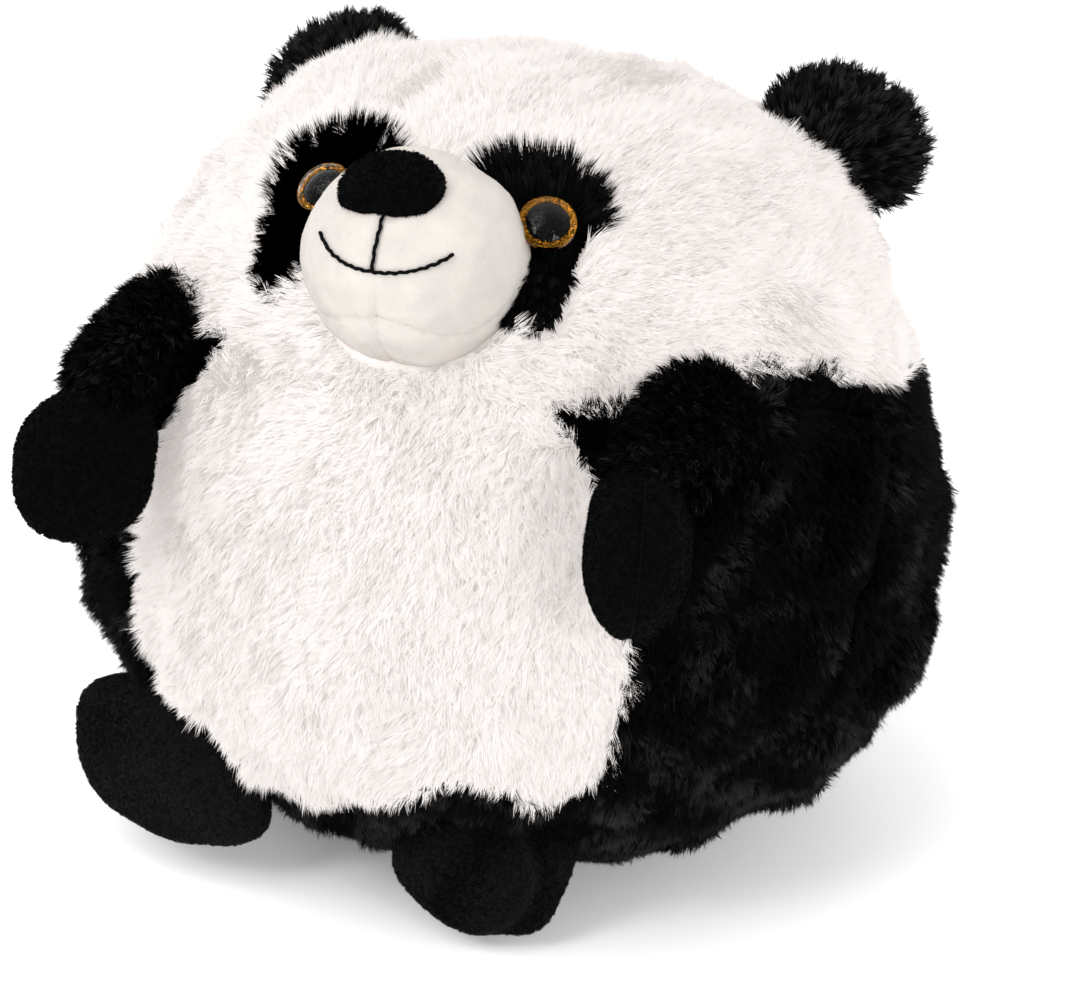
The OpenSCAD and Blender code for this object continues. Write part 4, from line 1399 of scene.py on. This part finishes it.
def look(obj, back, up):
    """Turn an object so that its own +Z looks back and its own +Y is up."""
    z = unit(back)
    x = unit(np.cross(up, z))
    y = np.cross(z, x)
    obj.rotation_mode = "QUATERNION"
    obj.rotation_quaternion = Matrix(np.stack([x, y, z], 1).tolist()).to_quaternion()


# The stage is in metres
CAM_AZ, CAM_EL, CAM_ROLL = (math.radians(a) for a in (18.2, 21.5, 4.3))
CAM_AT = np.array([0.0, 0.0, 0.092])
CAM_BACK = np.array([math.sin(CAM_AZ) * math.cos(CAM_EL), -math.cos(CAM_AZ) * math.cos(CAM_EL),
                     math.sin(CAM_EL)])
CAM_FAR = 0.917
FLOOR_HALF = 6.0


def make_camera():
    data = bpy.data.cameras.new("camera")
    data.lens = 83.1
    data.sensor_width = 36.0
    data.sensor_fit = "HORIZONTAL"
    data.shift_x = 0.030
    data.shift_y = 0.040
    data.clip_start = 0.05
    data.clip_end = 20
    camera = link("camera", data)
    right = np.array([math.cos(CAM_AZ), math.sin(CAM_AZ), 0])
    up = np.cross(CAM_BACK, right)
    rolled = -right * math.sin(CAM_ROLL) + up * math.cos(CAM_ROLL)
    look(camera, CAM_BACK, rolled)
    camera.location = CAM_AT + CAM_FAR * CAM_BACK
    bpy.context.scene.camera = camera


def area_light(name, at, aim, size, power):
    data = bpy.data.lights.new(name, "AREA")
    data.shape = "SQUARE"
    data.size = size
    data.energy = power
    light = link(name, data)
    light.location = at
    look(light, np.array(at) - aim, (0, 0.01, 1))


def make_lights():
    middle = np.array([0, 0, 0.13])
    sun = bpy.data.lights.new("sky", "SUN")
    sun.energy = 1.15
    sun.angle = math.radians(50)
    look(link("sky", sun), (-0.45, -0.5, 1.0), (0, 1, 0))
    area_light("key", (-0.6, -1.35, 1.0), middle, 0.5, 8)
    area_light("fill", (1.15, -1.05, 0.5), middle, 0.5, 7)
    area_light("edge", (1.5, 0.7, 0.7), middle, 0.6, 5)


def make_world():
    """A pale studio that is brightest in front of the camera, behind the toy."""
    world = bpy.data.worlds.new("studio")
    world.use_nodes = True
    nodes, links = world.node_tree.nodes, world.node_tree.links
    background = nodes["Background"]
    background.inputs["Strength"].default_value = 1.0
    place = nodes.new("ShaderNodeTexCoord")
    turn = nodes.new("ShaderNodeVectorMath")
    turn.operation = "DOT_PRODUCT"
    turn.inputs[1].default_value = (-CAM_BACK[0], -CAM_BACK[1], 0.25)
    sweep = ramp(nodes, [(0.0, grey(0.66)), (0.42, grey(0.7)), (0.7, grey(1.05))])
    shift = nodes.new("ShaderNodeMath")
    shift.operation = "MULTIPLY_ADD"
    shift.inputs[1].default_value = 0.5
    shift.inputs[2].default_value = 0.5
    links.new(place.outputs["Generated"], turn.inputs[0])
    links.new(turn.outputs["Value"], shift.inputs[0])
    links.new(shift.outputs["Value"], sweep.inputs["Fac"])
    links.new(sweep.outputs["Color"], background.inputs["Color"])
    bpy.context.scene.world = world
    bpy.context.scene.view_settings.view_transform = "Standard"


def make_floor():
    mesh = bpy.data.meshes.new("floor")
    corners = [(x * FLOOR_HALF, y * FLOOR_HALF, 0) for x, y in ((-1, -1), (1, -1), (1, 1), (-1, 1))]
    mesh.from_pydata(corners, [], [(0, 1, 2, 3)])
    floor = link("floor", mesh)
    material, _, _, shader = new_material("pale_floor", 0.9, specular=0.1)
    shader.inputs["Base Color"].default_value = (0.97, 0.97, 0.97, 1)
    set_glow(material, shader, (1, 1, 1), 0.2)
    mesh.materials.append(material)


# ---------------------------------------------------------------- build

make_camera()
make_lights()
make_world()
make_floor()
make_body_filling()
make_body_covers()
make_lining()
make_body_pile()
make_muzzle()
make_nose()
make_mouth()
make_closing_thread()
for side in (1, -1):
    make_eye(side)
    make_patch(side)
    make_ear(side)
    make_arm(side)
    make_foot(side)
for side in ("left", "right"):
    washer = frame["nodes"]["eye_washer_" + side]
    washer.data.materials.clear()
    washer.data.materials.append(WASHER)
